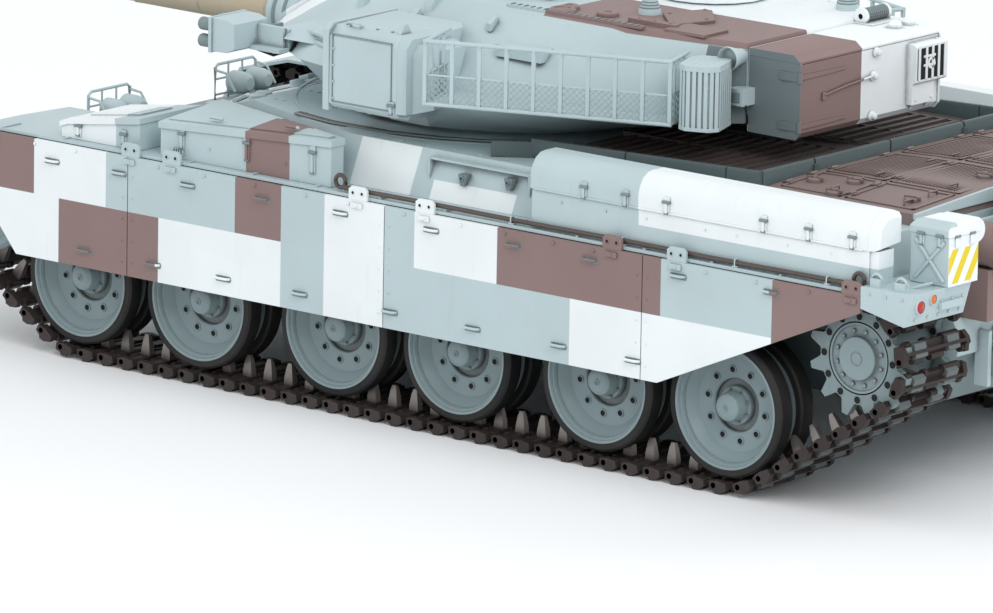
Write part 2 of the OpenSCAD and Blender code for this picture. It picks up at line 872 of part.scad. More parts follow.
module gun_barrel() {
    color(paint_beige)
        union() {
            bar_y(-80, 9.6, 0, gun_z, 5.5, 48);
            bar_y(-118, -48.2, 0, gun_z, sleeve_r, 64);
            bar_y(-176, -119.6, 0, gun_z, sleeve_r - 0.3, 64);
            bar_y(-214, -176.5, 0, gun_z, 7.5, 64);
            bar_y(-262, -214.5, 0, gun_z, sleeve_r - 0.7, 64);
            bar_y(-316, -263, 0, gun_z, sleeve_r - 1, 64);
            difference() {
                bar_y(muzzle_y, -78, 0, gun_z, 4.6, 48);
                bar_y(muzzle_y - 1, -300, 0, gun_z, 3.2, 48);
            }
            bar_y(muzzle_y + 2, muzzle_y + 14, 0, gun_z, 5.8, 48);
            block(-2.2, 2.2, muzzle_y + 4, muzzle_y + 12, gun_z + 3, gun_z + 8);
        }
}

// Searchlight housing on the turret's left side.
module searchlight_box() {
    color(paint_grey)
        difference() {
            union() {
                front_slab(55, 87)
                    polygon([
                        [70, 109], [94, 110], [94, 135.8], [90, 139.6], [58, 139.6]
                    ]);
                front_slab(87, 94.1)
                    polygon([[74, 110], [88, 110], [88, 133], [85, 136], [66, 136]]);
                block(52, 94.6, 52, 55.1, 108, 140);
                block(64, 84, 58, 84, 106.9, 110);
            }
            block(66, 90, 50, 53.6, 112, 136);
            turret_form();
        }
}

// Open baskets of bar and mesh on both sides behind the searchlight box.
module stowage_baskets() {
    color(paint_grey)
        for (side = [1, -1])
            on_side(side)
                difference() {
                    translate([100, 103.4, 5.6])
                        rotate([0, 0, 20])
                            basket_bars();
                    turret_form();
                }
}

module basket_bars() {
    len_b = 93;
    for (z = [112, 122.5, 134.5])
        block(-1.6, 0, 0, len_b, z, z + 1.5);
    for (k = [0:9])
        block(-1.5, -0.1, k * (len_b - 1.5) / 9, k * (len_b - 1.5) / 9 + 1.5, 112, 136);
    block(-1.2, -0.6, 0, len_b, 112, 123);
    for (y = [0, len_b - 1.5]) {
        deep = y > 0 ? 21 : 27;
        for (z = [112, 122.5, 134.5])
            block(-deep, 0, y, y + 1.5, z, z + 1.5);
        for (x = [-deep * 0.75, -deep * 0.5, -deep * 0.25])
            block(x, x + 1.4, y, y + 1.4, 112, 136);
    }
    block(-24, 0, 0, len_b, 112, 113);
}

// Smoke tubes, aerial bases, sights and boxes fixed to the turret.
module turret_fittings() {
    color(paint_grey) {
        difference() {
            union() {
                both_sides() {
                    // Smoke discharger boxes.
                    block(53, 74, -20, -8, 116, 129);
                    block(42, 64, -12, 6, 117, 126.5);
                    for (x = [58, 69])
                        for (z = [119, 125])
                            bar_y(-27, -19, x, z, 2.4, 24);
                }
                block(28, 60, 4, 24, 122, 127);
                block(44, 47, 28, 32, 134, 139);
                block(38, 54, 64, 68, 134, 147);
                // Slatted can, switch box and lamp at the turret's rear left corner.
                translate([58, 198, 117])
                    rotate([0, 0, 20])
                        block(-10, 10, -7.5, 7.5, 0, 24);
                block(40, 48, 200, 203.2, 124, 130.5);
                bar_x(41.1, 50, 201, 141, 4.4, 32);
            }
            turret_form();
        }
        // Aerial bases.
        for (c = [[22, 144], [-34, 190]]) {
            bar_z(turret_z, 152, c[0], c[1], 4, 32);
            bar_z(152, 156, c[0], c[1], 2, 24);
        }
        bar_z(turret_z, turret_z + 2, 42, 120, 5, 32);
        block(35, 40, 148, 170, turret_z, turret_z + 2);
        // Servo that raises the gun, inside the turret.
        block(20, 34, 44, 68, 110, 134);
        block(24, 28, 50, 62, 133.8, turret_z - 5);
        // Sight hood on the roof.
        block(-22, -6, 84, 98, turret_z, 153);
    }
}

module filter_pack() {
    color(paint_grey)
        difference() {
            union() {
                side_slab(-41, 41)
                    polygon([[203.3, 114], [225, 114], [226.6, 143.6], [203.3, 143.6]]);
                block(-40.6, -21.4, 225, 231, 125, 140);
                block(-35, -21.4, 225, 229.4, 117.5, 125.5);
                bar_y(224, 229, -3, 139.5, 1.6, 16);
                bar_y(224, 229, -1, 116.8, 1.6, 16);
                bar_z(143, 147, -24, 219, 2.6, 32);
                bar_z(143, 147, -32, 219, 2.6, 32);
                block(-36, -20, 196, 214, 143, 150);
            }
            for (k = [0:4])
                block(-39, -23, 230, 232, 126.6 + k * 2.6, 127.8 + k * 2.6);
            turret_form();
        }
}

// Commander's cupola with periscopes, turning on the roof.
module cupola() {
    translate([-22, 138, turret_z])
        color(paint_white)
            union() {
                bar_z(0.4, 5, 0, 0, 22, 96);
                bar_z(5, 12, 0, 0, 18.5, 64);
                for (k = [0:8])
                    rotate([0, 0, 40 * k])
                        block(15, 21, -3, 3, 4.5, 12.5);
                bar_z(12, 14.4, 0, 0, 14, 64);
                bar_z(14.4, 16, 0, 0, 9, 48);
                block(-4, 4, -22, -14, 5, 18);
            }
}

module loader_hatch() {
    translate([22, 86, turret_z])
        color(paint_white)
            union() {
                bar_z(0.4, 2.2, 0, 0, 14, 64);
                bar_z(2.1, 3.4, 0, 0, 8, 48);
                block(-7, 7, 12, 17, 0.4, 2.2);
                bar_x(-7, 7, 17, 1.9, 1.5, 24);
                block(-5, 5, -7, -5, 2, 4.6);
            }
}

lower_hull();
upper_hull();
engine_deck();
deck_rail();
trackguards();
skirt_panels();
stowage_bins();
rear_fittings();
tow_cable();
front_lamps();
bogie_brackets();
battery_pack();
control_board();
drive_units();
battery_hatch();
driver_hatch();
power_switch();
track(1);  // track_left
track(-1);  // track_right
arm(1, 0);  // arm_left_1
arm(1, 1);  // arm_left_2
arm(1, 2);  // arm_left_3
arm(1, 3);  // arm_left_4
arm(1, 4);  // arm_left_5
arm(1, 5);  // arm_left_6
arm(-1, 0);  // arm_right_1
arm(-1, 1);  // arm_right_2
arm(-1, 2);  // arm_right_3
arm(-1, 3);  // arm_right_4
arm(-1, 4);  // arm_right_5
arm(-1, 5);  // arm_right_6
wheel(1, wheel_y[0]);  // wheel_left_1
wheel(1, wheel_y[1]);  // wheel_left_2
wheel(1, wheel_y[2]);  // wheel_left_3
wheel(1, wheel_y[3]);  // wheel_left_4
wheel(1, wheel_y[4]);  // wheel_left_5
wheel(1, wheel_y[5]);  // wheel_left_6
wheel(-1, wheel_y[0]);  // wheel_right_1
wheel(-1, wheel_y[1]);  // wheel_right_2
wheel(-1, wheel_y[2]);  // wheel_right_3
wheel(-1, wheel_y[3]);  // wheel_right_4
wheel(-1, wheel_y[4]);  // wheel_right_5
wheel(-1, wheel_y[5]);  // wheel_right_6
sprocket(1);  // sprocket_left
sprocket(-1);  // sprocket_right
idler(1);  // idler_left
idler(-1);  // idler_right
roller(1, roller_y[0]);  // roller_left_1
roller(1, roller_y[1]);  // roller_left_2
roller(-1, roller_y[0]);  // roller_right_1
roller(-1, roller_y[1]);  // roller_right_2
turret_shell();
searchlight_box();
stowage_baskets();
filter_pack();
turret_fittings();
cupola();
loader_hatch();
mantlet();
gun_barrel();
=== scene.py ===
import json
from math import acos, atan2, cos, hypot, pi, radians, sin, sqrt, tan

import bpy
from mathutils import Matrix, Vector

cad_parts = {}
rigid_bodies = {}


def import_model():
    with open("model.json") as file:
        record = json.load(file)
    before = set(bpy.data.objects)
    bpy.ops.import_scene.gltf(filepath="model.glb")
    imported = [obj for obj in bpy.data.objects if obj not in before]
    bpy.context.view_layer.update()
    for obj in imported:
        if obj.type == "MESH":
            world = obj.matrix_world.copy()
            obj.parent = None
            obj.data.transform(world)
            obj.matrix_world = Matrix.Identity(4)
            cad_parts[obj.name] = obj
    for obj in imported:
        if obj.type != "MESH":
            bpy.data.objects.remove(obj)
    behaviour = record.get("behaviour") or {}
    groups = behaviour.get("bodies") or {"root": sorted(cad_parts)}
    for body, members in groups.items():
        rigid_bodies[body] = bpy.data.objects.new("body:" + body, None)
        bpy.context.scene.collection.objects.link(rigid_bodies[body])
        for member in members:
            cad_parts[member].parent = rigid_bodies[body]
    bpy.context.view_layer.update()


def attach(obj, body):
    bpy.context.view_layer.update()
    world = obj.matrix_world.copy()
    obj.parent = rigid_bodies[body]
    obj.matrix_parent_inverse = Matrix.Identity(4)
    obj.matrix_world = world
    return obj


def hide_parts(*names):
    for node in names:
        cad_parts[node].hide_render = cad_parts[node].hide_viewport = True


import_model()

bl_info = {
    "name": "Model tank builder",
    "version": (1, 0, 0),
    "blender": (4, 5, 0),
    "location": "View3D > Sidebar > Tank",
    "description": "Builds the visual pieces of a radio controlled model tank on its packed frame",
    "category": "Object",
}

MM = 0.001

# Outline sizes shared by several pieces, in millimetres in the row frame.
GUARD_Z = 82.8
ROOF_Z = 99.4
GUN_Z = 117.5
TURRET_Z = 145.6
RING_Y = 65.6
TRUNNION_Y = -18.0
WHEEL_Z = 30.6
WHEEL_FACE = 101.9
WHEEL_HUB_X = 92.0
END_HUB_X = 90.0
TRACK_IN = 66.2
TRACK_OUT = 104.0
SKIRT_X = 109.4
BOGIE_MID = 93.75
BOGIE_PITCH = 121.35
BOGIE_BASE = 57.3
WHEEL_Y = [BOGIE_MID + k * BOGIE_PITCH + s * BOGIE_BASE / 2 for k in (-1, 0, 1) for s in (-1, 1)]
SPROCKET = (300.8, 57.5, 17.1)
IDLER = (-103.0, 53.5, 20.0)
LINKS = 96

# Camera behind the tank's left side: angles in degrees, lengths in metres, lens in millimetres.
VIEW_TURN, VIEW_TILT, VIEW_ROLL = 39.08, 12.76, 1.037
VIEW_TARGET = (0.100, 0.1392, 0.0502)
VIEW_DISTANCE = 3.556
VIEW_LENS = 364.2
# Lamps: name, place in metres and share of the key light's power.
LAMP_SIZE = 1.2
LAMP_AIM = (0, 0, 0.06)
LAMPS = (("key", (1.15, 1.75, 1.6), 1.0), ("rim", (-1.6, 0.9, 1.5), 0.35), ("front", (0.7, -1.8, 1.3), 0.4))

WHITE = (0.815, 0.865, 0.88)
GREY = (0.47, 0.575, 0.595)
BROWN = (0.250, 0.172, 0.162)
DECK_BROWN = (0.225, 0.168, 0.158)
# Flat dark grey on the pack's side and the turret wall behind the left basket: painted shade cast by the
# basket.
PAINTED_SHADE_GREY = (0.15, 0.19, 0.20)
DARK_GREEN = (0.075, 0.105, 0.108)


# ---- mesh helpers


class Shape:
    """Collects faces in millimetres and turns them into one Blender object."""

    def __init__(self):
        self.verts = []
        self.faces = []
        self.mats = []

    def add(self, verts, faces, mat=0):
        base = len(self.verts)
        self.verts.extend(tuple(v) for v in verts)
        self.faces.extend([base + i for i in f] for f in faces)
        self.mats.extend([mat] * len(faces))

    def loft(self, rings, mat=0, closed=False, caps=True):
        """Skins a list of rings that all have the same number of points."""
        n = len(rings[0])
        verts = [p for ring in rings for p in ring]
        faces = []
        spans = len(rings) if closed else len(rings) - 1
        for i in range(spans):
            a, b = i * n, ((i + 1) % len(rings)) * n
            for j in range(n):
                k = (j + 1) % n
                faces.append([a + j, a + k, b + k, b + j])
        if caps and not closed:
            faces.append(list(range(n))[::-1])
            faces.append([(len(rings) - 1) * n + j for j in range(n)])
        self.add(verts, faces, mat)

    def prism(self, axis, a0, a1, outline, mat=0):
        """Outline drawn on the two other axes, in X, Y, Z order, drawn out along axis."""
        rings = []
        for a in (a0, a1):
            ring = []
            for u, v in outline:
                ring.append({"x": (a, u, v), "y": (u, a, v), "z": (u, v, a)}[axis])
            rings.append(ring)
        self.loft(rings, mat)

    def box(self, x0, x1, y0, y1, z0, z1, mat=0):
        self.prism("z", z0, z1, [(x0, y0), (x1, y0), (x1, y1), (x0, y1)], mat)

    def turned(self, axis, centre, profile, seg=48, mat=0, caps=False):
        """Turns a profile of (along, radius) about an axis through centre."""
        rings = []
        for along, r in profile:
            ring = []
            for k in range(seg):
                a = 2 * pi * k / seg
                c, s = r * cos(a), r * sin(a)
                p = {"x": (along, c, s), "y": (c, along, s), "z": (c, s, along)}[axis]
                ring.append((p[0] + centre[0], p[1] + centre[1], p[2] + centre[2]))
            rings.append(ring)
        self.loft(rings, mat, caps=caps)

    def rod(self, axis, a0, a1, centre, r, seg=16, mat=0):
        self.turned(axis, centre, [(a0, r), (a1, r)], seg, mat, caps=True)

    def tube(self, points, r, sides=8, mat=0, closed=False):
        """Round tube along a list of points."""
        pts = [Vector(p) for p in points]
        n = len(pts)
        rings = []
        up = Vector((0, 0, 1))
        for i, p in enumerate(pts):
            a = pts[(i - 1) % n] if closed or i else pts[0]
            b = pts[(i + 1) % n] if closed or i < n - 1 else pts[-1]
            t = (b - a).normalized()
            side = t.cross(up)
            if side.length < 0.05:
                side = t.cross(Vector((1, 0, 0)))
            side.normalize()
            other = side.cross(t)
            rings.append([
                tuple(p + side * (r * cos(2 * pi * k / sides))
                      + other * (r * sin(2 * pi * k / sides)))
                for k in range(sides)
            ])
        self.loft(rings, mat, closed=closed)

    def bolt(self, axis, at, r=0.8, h=0.7, sides=6, mat=0, sign=1):
        """Low domed bolt head standing on a face."""
        self.turned(axis, at, [(-0.2 * sign, r), (h * 0.6 * sign, r), (h * sign, r * 0.7)], sides, mat,
                True)

    def moved(self, matrix, other):
        """Adds another shape through a matrix."""
        base = len(self.verts)
        self.verts.extend(tuple(matrix @ Vector(v)) for v in other.verts)
        self.faces.extend([base + i for i in f] for f in other.faces)
        self.mats.extend(other.mats)

    def take(self, data, mat=0):
        """Adds the faces of a finished mesh."""
        self.add([tuple(v.co / MM) for v in data.vertices], [list(p.vertices) for p in data.polygons], mat)

    def mirrored(self):
        """A copy of everything on the other side of the tank."""
        out = Shape()
        out.verts = [(-x, y, z) for x, y, z in self.verts]
        out.faces = [f[::-1] for f in self.faces]
        out.mats = list(self.mats)
        return out

    def both(self):
        self.moved(Matrix.Identity(4), self.mirrored())
        return self

    def mesh(self, name):
        data = bpy.data.meshes.new(name)
        data.from_pydata([(x * MM, y * MM, z * MM) for x, y, z in self.verts], [], self.faces)
        data.polygons.foreach_set("material_index", self.mats)
        data.update()
        return data


def fix_normals(data):
    import bmesh
    bm = bmesh.new()
    bm.from_mesh(data)
    bmesh.ops.recalc_face_normals(bm, faces=bm.faces)
    bm.to_mesh(data)
    bm.free()


def finish_mesh(data, smooth_deg):
    fix_normals(data)
    data.polygons.foreach_set("use_smooth", [True] * len(data.polygons))
    data.set_sharp_from_angle(angle=radians(smooth_deg))


def carve(data, cutter):
    """Cuts a shape out of a mesh and returns the cut mesh."""
    obj = bpy.data.objects.new("cut_body", data)
    tool = bpy.data.objects.new("cut_tool", cutter.mesh("cut_tool"))
    fix_normals(tool.data)
    for o in (obj, tool):
        bpy.context.scene.collection.objects.link(o)
    mod = obj.modifiers.new("cut", "BOOLEAN")
    mod.object = tool
    mod.operation = "DIFFERENCE"
    mod.solver = "EXACT"
    bpy.context.view_layer.update()
    cut = bpy.data.meshes.new_from_object(obj.evaluated_get(bpy.context.evaluated_depsgraph_get()))
    for o in (obj, tool):
        bpy.data.objects.remove(o)
    return cut


def piece(name, shape, mats, body, nodes=(), bevel=0.3, smooth=38, place=None, data=None):
    """Makes one visual piece: bevelled, shaded, riding on its body."""
    if data is None:
        data = shape.mesh(name)
        finish_mesh(data, smooth)
        for m in mats:
            data.materials.append(m)
    obj = bpy.data.objects.new(name, data)
    bpy.context.scene.collection.objects.link(obj)
    if place is not None:
        obj.matrix_world = place
    if bevel > 0:
        mod = obj.modifiers.new("edges", "BEVEL")
        mod.width = bevel * MM * bpy.context.scene.tank_sizes.edge
        mod.segments = 2
        mod.limit_method = "ANGLE"
        mod.angle_limit = radians(42)
        mod.harden_normals = True
    bpy.context.view_layer.update()
    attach(obj, body)
    if nodes:
        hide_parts(*nodes)
    return obj


def clip_outline(points, lo, hi):
    """Cuts a closed outline to the strip lo <= first coordinate <= hi."""
    def cut(pts, keep, edge):
        out = []
        for i, p in enumerate(pts):
            q = pts[(i + 1) % len(pts)]
            if keep(p):
                out.append(p)
            if keep(p) != keep(q):
                t = (edge - p[0]) / (q[0] - p[0])
                out.append((edge, p[1] + t * (q[1] - p[1])))
        return out
    pts = cut(points, lambda p: p[0] >= lo, lo)
    return cut(pts, lambda p: p[0] <= hi, hi)


# ---- shader groups


def group(name, inputs, outputs):
    """New shader node group with (kind, name, default) inputs and (kind, name) outputs."""
    g = bpy.data.node_groups.new(name, "ShaderNodeTree")
    for kind, label, default in inputs:
        s = g.interface.new_socket(label, in_out="INPUT", socket_type="NodeSocket" + kind)
        s.default_value = default
    for kind, label in outputs:
        g.interface.new_socket(label, in_out="OUTPUT", socket_type="NodeSocket" + kind)
    return g


class Wires:
    """Short names for building a node tree."""

    def __init__(self, tree):
        self.tree = tree

    def node(self, kind, **settings):
        n = self.tree.nodes.new("ShaderNode" + kind)
        for key, value in settings.items():
            setattr(n, key, value)
        return n

    def link(self, a, b):
        self.tree.links.new(a, b)

    def put(self, socket, value):
        if hasattr(value, "links") or isinstance(value, bpy.types.NodeSocket):
            self.link(value, socket)
        else:
            socket.default_value = value

    def math(self, op, a, b=0.0, clamp=False):
        n = self.node("Math", operation=op, use_clamp=clamp)
        self.put(n.inputs[0], a)
        self.put(n.inputs[1], b)
        return n.outputs[0]

    def vec(self, op, a, b=(0, 0, 0), out=0):
        n = self.node("VectorMath", operation=op)
        self.put(n.inputs[0], a)
        if op == "SCALE":
            self.put(n.inputs["Scale"], b)
        else:
            self.put(n.inputs[1], b)
        return n.outputs[out]

    def mix(self, fac, a, b, blend="MIX"):
        n = self.node("Mix", data_type="RGBA", blend_type=blend)
        self.put(n.inputs[0], fac)
        self.put(n.inputs[6], a)
        self.put(n.inputs[7], b)
        return n.outputs[2]

    def ramp(self, value, lo, hi, a=0.0, b=1.0):
        n = self.node("MapRange", interpolation_type="SMOOTHSTEP")
        self.put(n.inputs[0], value)
        n.inputs[1].default_value = lo
        n.inputs[2].default_value = hi
        n.inputs[3].default_value = a
        n.inputs[4].default_value = b
        return n.outputs[0]

    def noise(self, vector, scale, detail=4.0, rough=0.55):
        n = self.node("TexNoise")
        self.put(n.inputs["Vector"], vector)
        n.inputs["Scale"].default_value = scale
        n.inputs["Detail"].default_value = detail
        n.inputs["Roughness"].default_value = rough
        return n.outputs[0]


def make_block_group():
    """Masked colour block: a box in the row frame takes one colour of the pattern."""
    g = group("ColourBlock",
              [("Color", "Under", (1, 1, 1, 1)), ("Color", "Paint", (1, 1, 1, 1)),
               ("Vector", "Centre", (0, 0, 0)), ("Vector", "Half", (1, 1, 1)),
               ("Vector", "Position", (0, 0, 0))],
              [("Color", "Color")])
    w = Wires(g)
    i = g.nodes.new("NodeGroupInput")
    o = g.nodes.new("NodeGroupOutput")
    off = w.vec("ABSOLUTE", w.vec("SUBTRACT", i.outputs["Position"], i.outputs["Centre"]))
    gap = w.vec("SUBTRACT", i.outputs["Half"], off)
    s = w.node("SeparateXYZ")
    w.link(gap, s.inputs[0])
    low = w.math("MINIMUM", w.math("MINIMUM", s.outputs[0], s.outputs[1]), s.outputs[2])
    mask = w.ramp(low, -0.00012, 0.00012)
    w.link(w.mix(mask, i.outputs["Under"], i.outputs["Paint"]), o.inputs[0])
    return g


def make_wear_group():
    """Painted model finish: tone drift, grain, streaks, chips, dust low down, and dark washes round details
    that are partly real paint wash and partly painted shade from ambient occlusion.
    """
    g = group("PaintWear",
              [("Color", "Color", (1, 1, 1, 1)), ("Vector", "Position", (0, 0, 0)),
               ("Float", "Chips", 0.5), ("Float", "Dust", 0.3), ("Float", "Grime", 0.5)],
              [("Color", "Color"), ("Float", "Roughness"), ("Float", "Height")])
    w = Wires(g)
    i = g.nodes.new("NodeGroupInput")
    o = g.nodes.new("NodeGroupOutput")
    p = i.outputs["Position"]
    broad = w.noise(p, 22.0, 3.0)
    fine = w.noise(p, 900.0, 2.0)
    tone = w.ramp(broad, 0.3, 0.7, 0.95, 1.02)
    scale = w.node("CombineColor")
    for k in range(3):
        w.link(tone, scale.inputs[k])
    col = w.mix(1.0, i.outputs["Color"], scale.outputs[0], "MULTIPLY")
    streak = w.noise(w.vec("MULTIPLY", p, (1.0, 1.0, 0.16)), 210.0, 3.0, 0.6)
    streak_mask = w.math("MULTIPLY", w.ramp(streak, 0.58, 0.80), i.outputs["Grime"], True)
    col = w.mix(w.math("MULTIPLY", streak_mask, 0.13), col, (0.20, 0.17, 0.15, 1))
    # Ambient occlusion darkens the colour in creases and round details: partly a real paint wash, partly
    # painted shade.
    crevice_shade_ao = w.node("AmbientOcclusion", samples=6, only_local=True)
    crevice_shade_ao.inputs["Distance"].default_value = 0.0034
    open_part = w.math("ADD", crevice_shade_ao.outputs["AO"], w.math("MULTIPLY", w.math("SUBTRACT", fine, 0.5), 0.25))
    wash_and_painted_shade = w.math("MULTIPLY", w.ramp(open_part, 0.86, 0.40), i.outputs["Grime"], True)
    col = w.mix(w.math("MULTIPLY", wash_and_painted_shade, 0.82), col, (0.060, 0.046, 0.040, 1))
    specks = w.ramp(w.noise(p, 520.0, 5.0, 0.75), 0.715, 0.74)
    col = w.mix(w.math("MULTIPLY", specks, w.math("MULTIPLY", i.outputs["Chips"], 0.55)), col,
                (0.13, 0.10, 0.09, 1))
    sep = w.node("SeparateXYZ")
    w.link(p, sep.inputs[0])
    low = w.ramp(sep.outputs[2], 0.030, 0.0)
    dust = w.math("MULTIPLY", w.math("MULTIPLY", low, w.ramp(broad, 0.25, 0.65)), i.outputs["Dust"], True)
    col = w.mix(dust, col, (0.30, 0.27, 0.25, 1))
    w.link(col, o.inputs["Color"])
    rough = w.math("SUBTRACT", w.math("MULTIPLY", fine, 0.12), w.math("MULTIPLY", specks, 0.05))
    w.link(rough, o.inputs["Roughness"])
    h = w.math("ADD", w.math("MULTIPLY", fine, 0.5), w.math("MULTIPLY", broad, 0.6))
    h = w.math("SUBTRACT", h, w.math("MULTIPLY", specks, 0.4))
    w.link(h, o.inputs["Height"])
    return g


GROUPS = {}
MATERIALS = {}


def shared_groups():
    if not GROUPS:
        GROUPS["block"] = make_block_group()
        GROUPS["wear"] = make_wear_group()
    return GROUPS


def chosen(colour):
    """The user's own tone for one of the pattern colours."""
    p = bpy.context.scene.tank_paints
    table = {WHITE: p.white, GREY: p.grey, BROWN: p.brown, DECK_BROWN: p.deck, DARK_GREEN: p.dark}
    return tuple(table.get(colour, colour)) + (1.0,)


def paint(name, base, blocks=(), chips=0.5, dust=0.3, grime=0.5, rough=0.5, metal=0.0, bump=0.12,
        spec=0.35):
    """Painted finish with optional colour blocks given as (colour, (x0, x1, y0, y1, z0, z1))."""
    if name in MATERIALS:
        return MATERIALS[name]
    groups = shared_groups()
    mat = bpy.data.materials.new(name)
    mat.use_nodes = True
    tree = mat.node_tree
    tree.nodes.clear()
    w = Wires(tree)
    out = w.node("OutputMaterial")
    bsdf = w.node("BsdfPrincipled")
    w.link(bsdf.outputs[0], out.inputs[0])
    pos = w.node("TexCoord").outputs["Object"]
    col = chosen(base)
    for colour, (x0, x1, y0, y1, z0, z1) in blocks:
        n = w.node("Group", node_tree=groups["block"])
        w.put(n.inputs["Under"], col)
        n.inputs["Paint"].default_value = chosen(colour)
        n.inputs["Centre"].default_value = ((x0 + x1) * MM / 2, (y0 + y1) * MM / 2, (z0 + z1) * MM / 2)
        n.inputs["Half"].default_value = ((x1 - x0) * MM / 2, (y1 - y0) * MM / 2, (z1 - z0) * MM / 2)
        w.link(pos, n.inputs["Position"])
        col = n.outputs[0]
    n = w.node("Group", node_tree=groups["wear"])
    w.put(n.inputs["Color"], col)
    w.link(pos, n.inputs["Position"])
    n.inputs["Chips"].default_value = chips
    n.inputs["Dust"].default_value = dust
    # This value drives both the streaks and the crevice darkening; the crevice darkening is partly real
    # wash and partly painted shade.
    n.inputs["Grime"].default_value = grime
    w.link(n.outputs["Color"], bsdf.inputs["Base Color"])
    w.link(w.math("ADD", n.outputs["Roughness"], rough - 0.06, True), bsdf.inputs["Roughness"])
    bsdf.inputs["Metallic"].default_value = metal
    bsdf.inputs["Specular IOR Level"].default_value = spec
    b = w.node("Bump")
    b.inputs["Strength"].default_value = bump
    b.inputs["Distance"].default_value = 0.0004
    w.link(n.outputs["Height"], b.inputs["Height"])
    w.link(b.outputs[0], bsdf.inputs["Normal"])
    MATERIALS[name] = mat
    return mat


def plain(name, kind):
    """Finishes that aren't camouflage: rubber, track metal, wire, plastics and lenses, and a near-black
    that is the real black of cables and the servo and painted shade in holes, bores and slots.
    """
    table = {
        "rubber": dict(base=(0.005, 0.0055, 0.006), chips=0.1, dust=0.06, grime=0.2, rough=0.62, bump=0.25),
        "track": dict(base=(0.042, 0.032, 0.030), chips=0.5, dust=0.08, grime=0.9, rough=0.52, metal=0.35,
                bump=0.5),
        "horn": dict(base=(0.30, 0.27, 0.25), chips=0.6, dust=0.05, grime=0.9, rough=0.38, metal=0.7,
                bump=0.3),
        "pad": dict(base=(0.13, 0.15, 0.155), chips=0.2, dust=0.08, grime=0.7, rough=0.7, bump=0.4),
        "wire": dict(base=(0.13, 0.105, 0.095), chips=0.6, dust=0.1, grime=0.8, rough=0.4, metal=0.7,
                bump=0.3),
        "grey": dict(base=GREY, chips=0.5, dust=0.0, grime=0.7),
        "wire_grey": dict(base=(0.36, 0.45, 0.465), chips=0.2, dust=0.0, grime=0.1, rough=0.5),
        "grey_dark": dict(base=(0.20, 0.26, 0.27), chips=0.4, dust=0.0, grime=0.8),
        # The wheels' high grime value darkens their dishes through the crevice wash, which is partly real
        # wash and partly painted shade.
        "wheel": dict(base=(0.235, 0.305, 0.32), chips=0.5, dust=0.0, grime=1.0, rough=0.45, bump=0.2),
        "rail": dict(base=DARK_GREEN, chips=0.6, dust=0.1, grime=0.4, rough=0.42),
        "deck": dict(base=DECK_BROWN, chips=0.5, dust=0.1, grime=0.9, rough=0.6),
        "brown": dict(base=BROWN, chips=0.5, dust=0.1, grime=0.8, rough=0.55),
        "white": dict(base=WHITE, chips=0.4, dust=0.1, grime=0.6),
        # Near-black: the real colour of black cables and the servo, and painted shade where it fills holes,
        # bores and slots.
        "hole": dict(base=(0.012, 0.012, 0.013), chips=0.0, dust=0.0, grime=0.0, rough=0.8),
        "black": dict(base=(0.02, 0.02, 0.022), chips=0.2, dust=0.1, grime=0.1, rough=0.45),
        "beige": dict(base=(0.50, 0.42, 0.31), chips=0.2, dust=0.0, grime=0.6, rough=0.8, bump=0.5),
        "amber": dict(base=(0.65, 0.16, 0.02), chips=0.0, dust=0.0, grime=0.3, rough=0.15, spec=0.6),
        "red": dict(base=(0.45, 0.02, 0.015), chips=0.0, dust=0.0, grime=0.3, rough=0.12, spec=0.6),
        "lens": dict(base=(0.50, 0.56, 0.58), chips=0.0, dust=0.0, grime=0.2, rough=0.08, metal=0.6,
                spec=0.6),
        "steel": dict(base=(0.42, 0.42, 0.43), chips=0.2, dust=0.0, grime=0.4, rough=0.3, metal=1.0,
                bump=0.1),
        "battery": dict(base=(0.02, 0.06, 0.22), chips=0.0, dust=0.0, grime=0.2, rough=0.25),
        "board": dict(base=(0.01, 0.09, 0.035), chips=0.0, dust=0.0, grime=0.3, rough=0.35),
    }
    return paint(name, **table[kind])


def skirt_paint():
    x0, x1 = 100, 112
    t = 61.0
    rows = [
        (BROWN, -100, -72.2, t, 90), (GREY, -37.2, 24.7, t, 90), (BROWN, -60, -11.7, 30, t),
        (BROWN, 24.7, 46.6, t, 90), (GREY, 46.6, 66.9, 30, 90),
        (GREY, 94.7, 320, 30, 90), (WHITE, 108.7, 146.6, t, 90), (BROWN, 146.6, 220.2, t, 90),
        (WHITE, 179.9, 269.1, 30, t), (BROWN, 269.1, 330, 30, 90),
    ]
    blocks = [(c, (x0, x1, a, b, lo, hi)) for c, a, b, lo, hi in rows]
    far = [
        (BROWN, -60, -10, t, 90), (GREY, -10, 60, 30, 90), (BROWN, 60, 110, 30, t),
        (GREY, 140, 190, t, 90), (BROWN, 205, 262, t, 90), (GREY, 262, 330, 30, 90),
    ]
    blocks += [(c, (-x1, -x0, a, b, lo, hi)) for c, a, b, lo, hi in far]
    return paint("skirt_finish", WHITE, blocks, chips=0.35, dust=0.25, grime=0.5)


def bin_paint():
    rows = [
        (GREY, 60, 120, -37, 25.4, 80, 120), (BROWN, 60, 120, 25.4, 46, 80, 120),
        (GREY, 60, 120, 46, 90, 80, 120), (GREY, 60, 120, 150, 206.5, 80, 120),
        (GREY, 60, 120, 206, 320, 80, 90.8),
        (BROWN, -120, -60, -30, 10, 80, 120), (GREY, -120, -60, 40, 90, 80, 120),
        (GREY, -120, -60, 230, 320, 80, 120),
    ]
    return paint("bin_finish", WHITE, [(c, tuple(b)) for c, *b in rows], chips=0.35, grime=0.6)


def hull_paint():
    rows = [
        (WHITE, 70, 120, 66, 93.9, 82, 99.3), (WHITE, 60, 120, 103, 141, 82, 89.5),
        (BROWN, -120, -70, 60, 110, 82, 99.3), (BROWN, -120, 120, -130, -84, 60, 90),
        (WHITE, -60, 20, -84, -10, 60, 99.3),
    ]
    return paint("hull_finish", GREY, [(c, tuple(b)) for c, *b in rows], chips=0.45, grime=0.7)


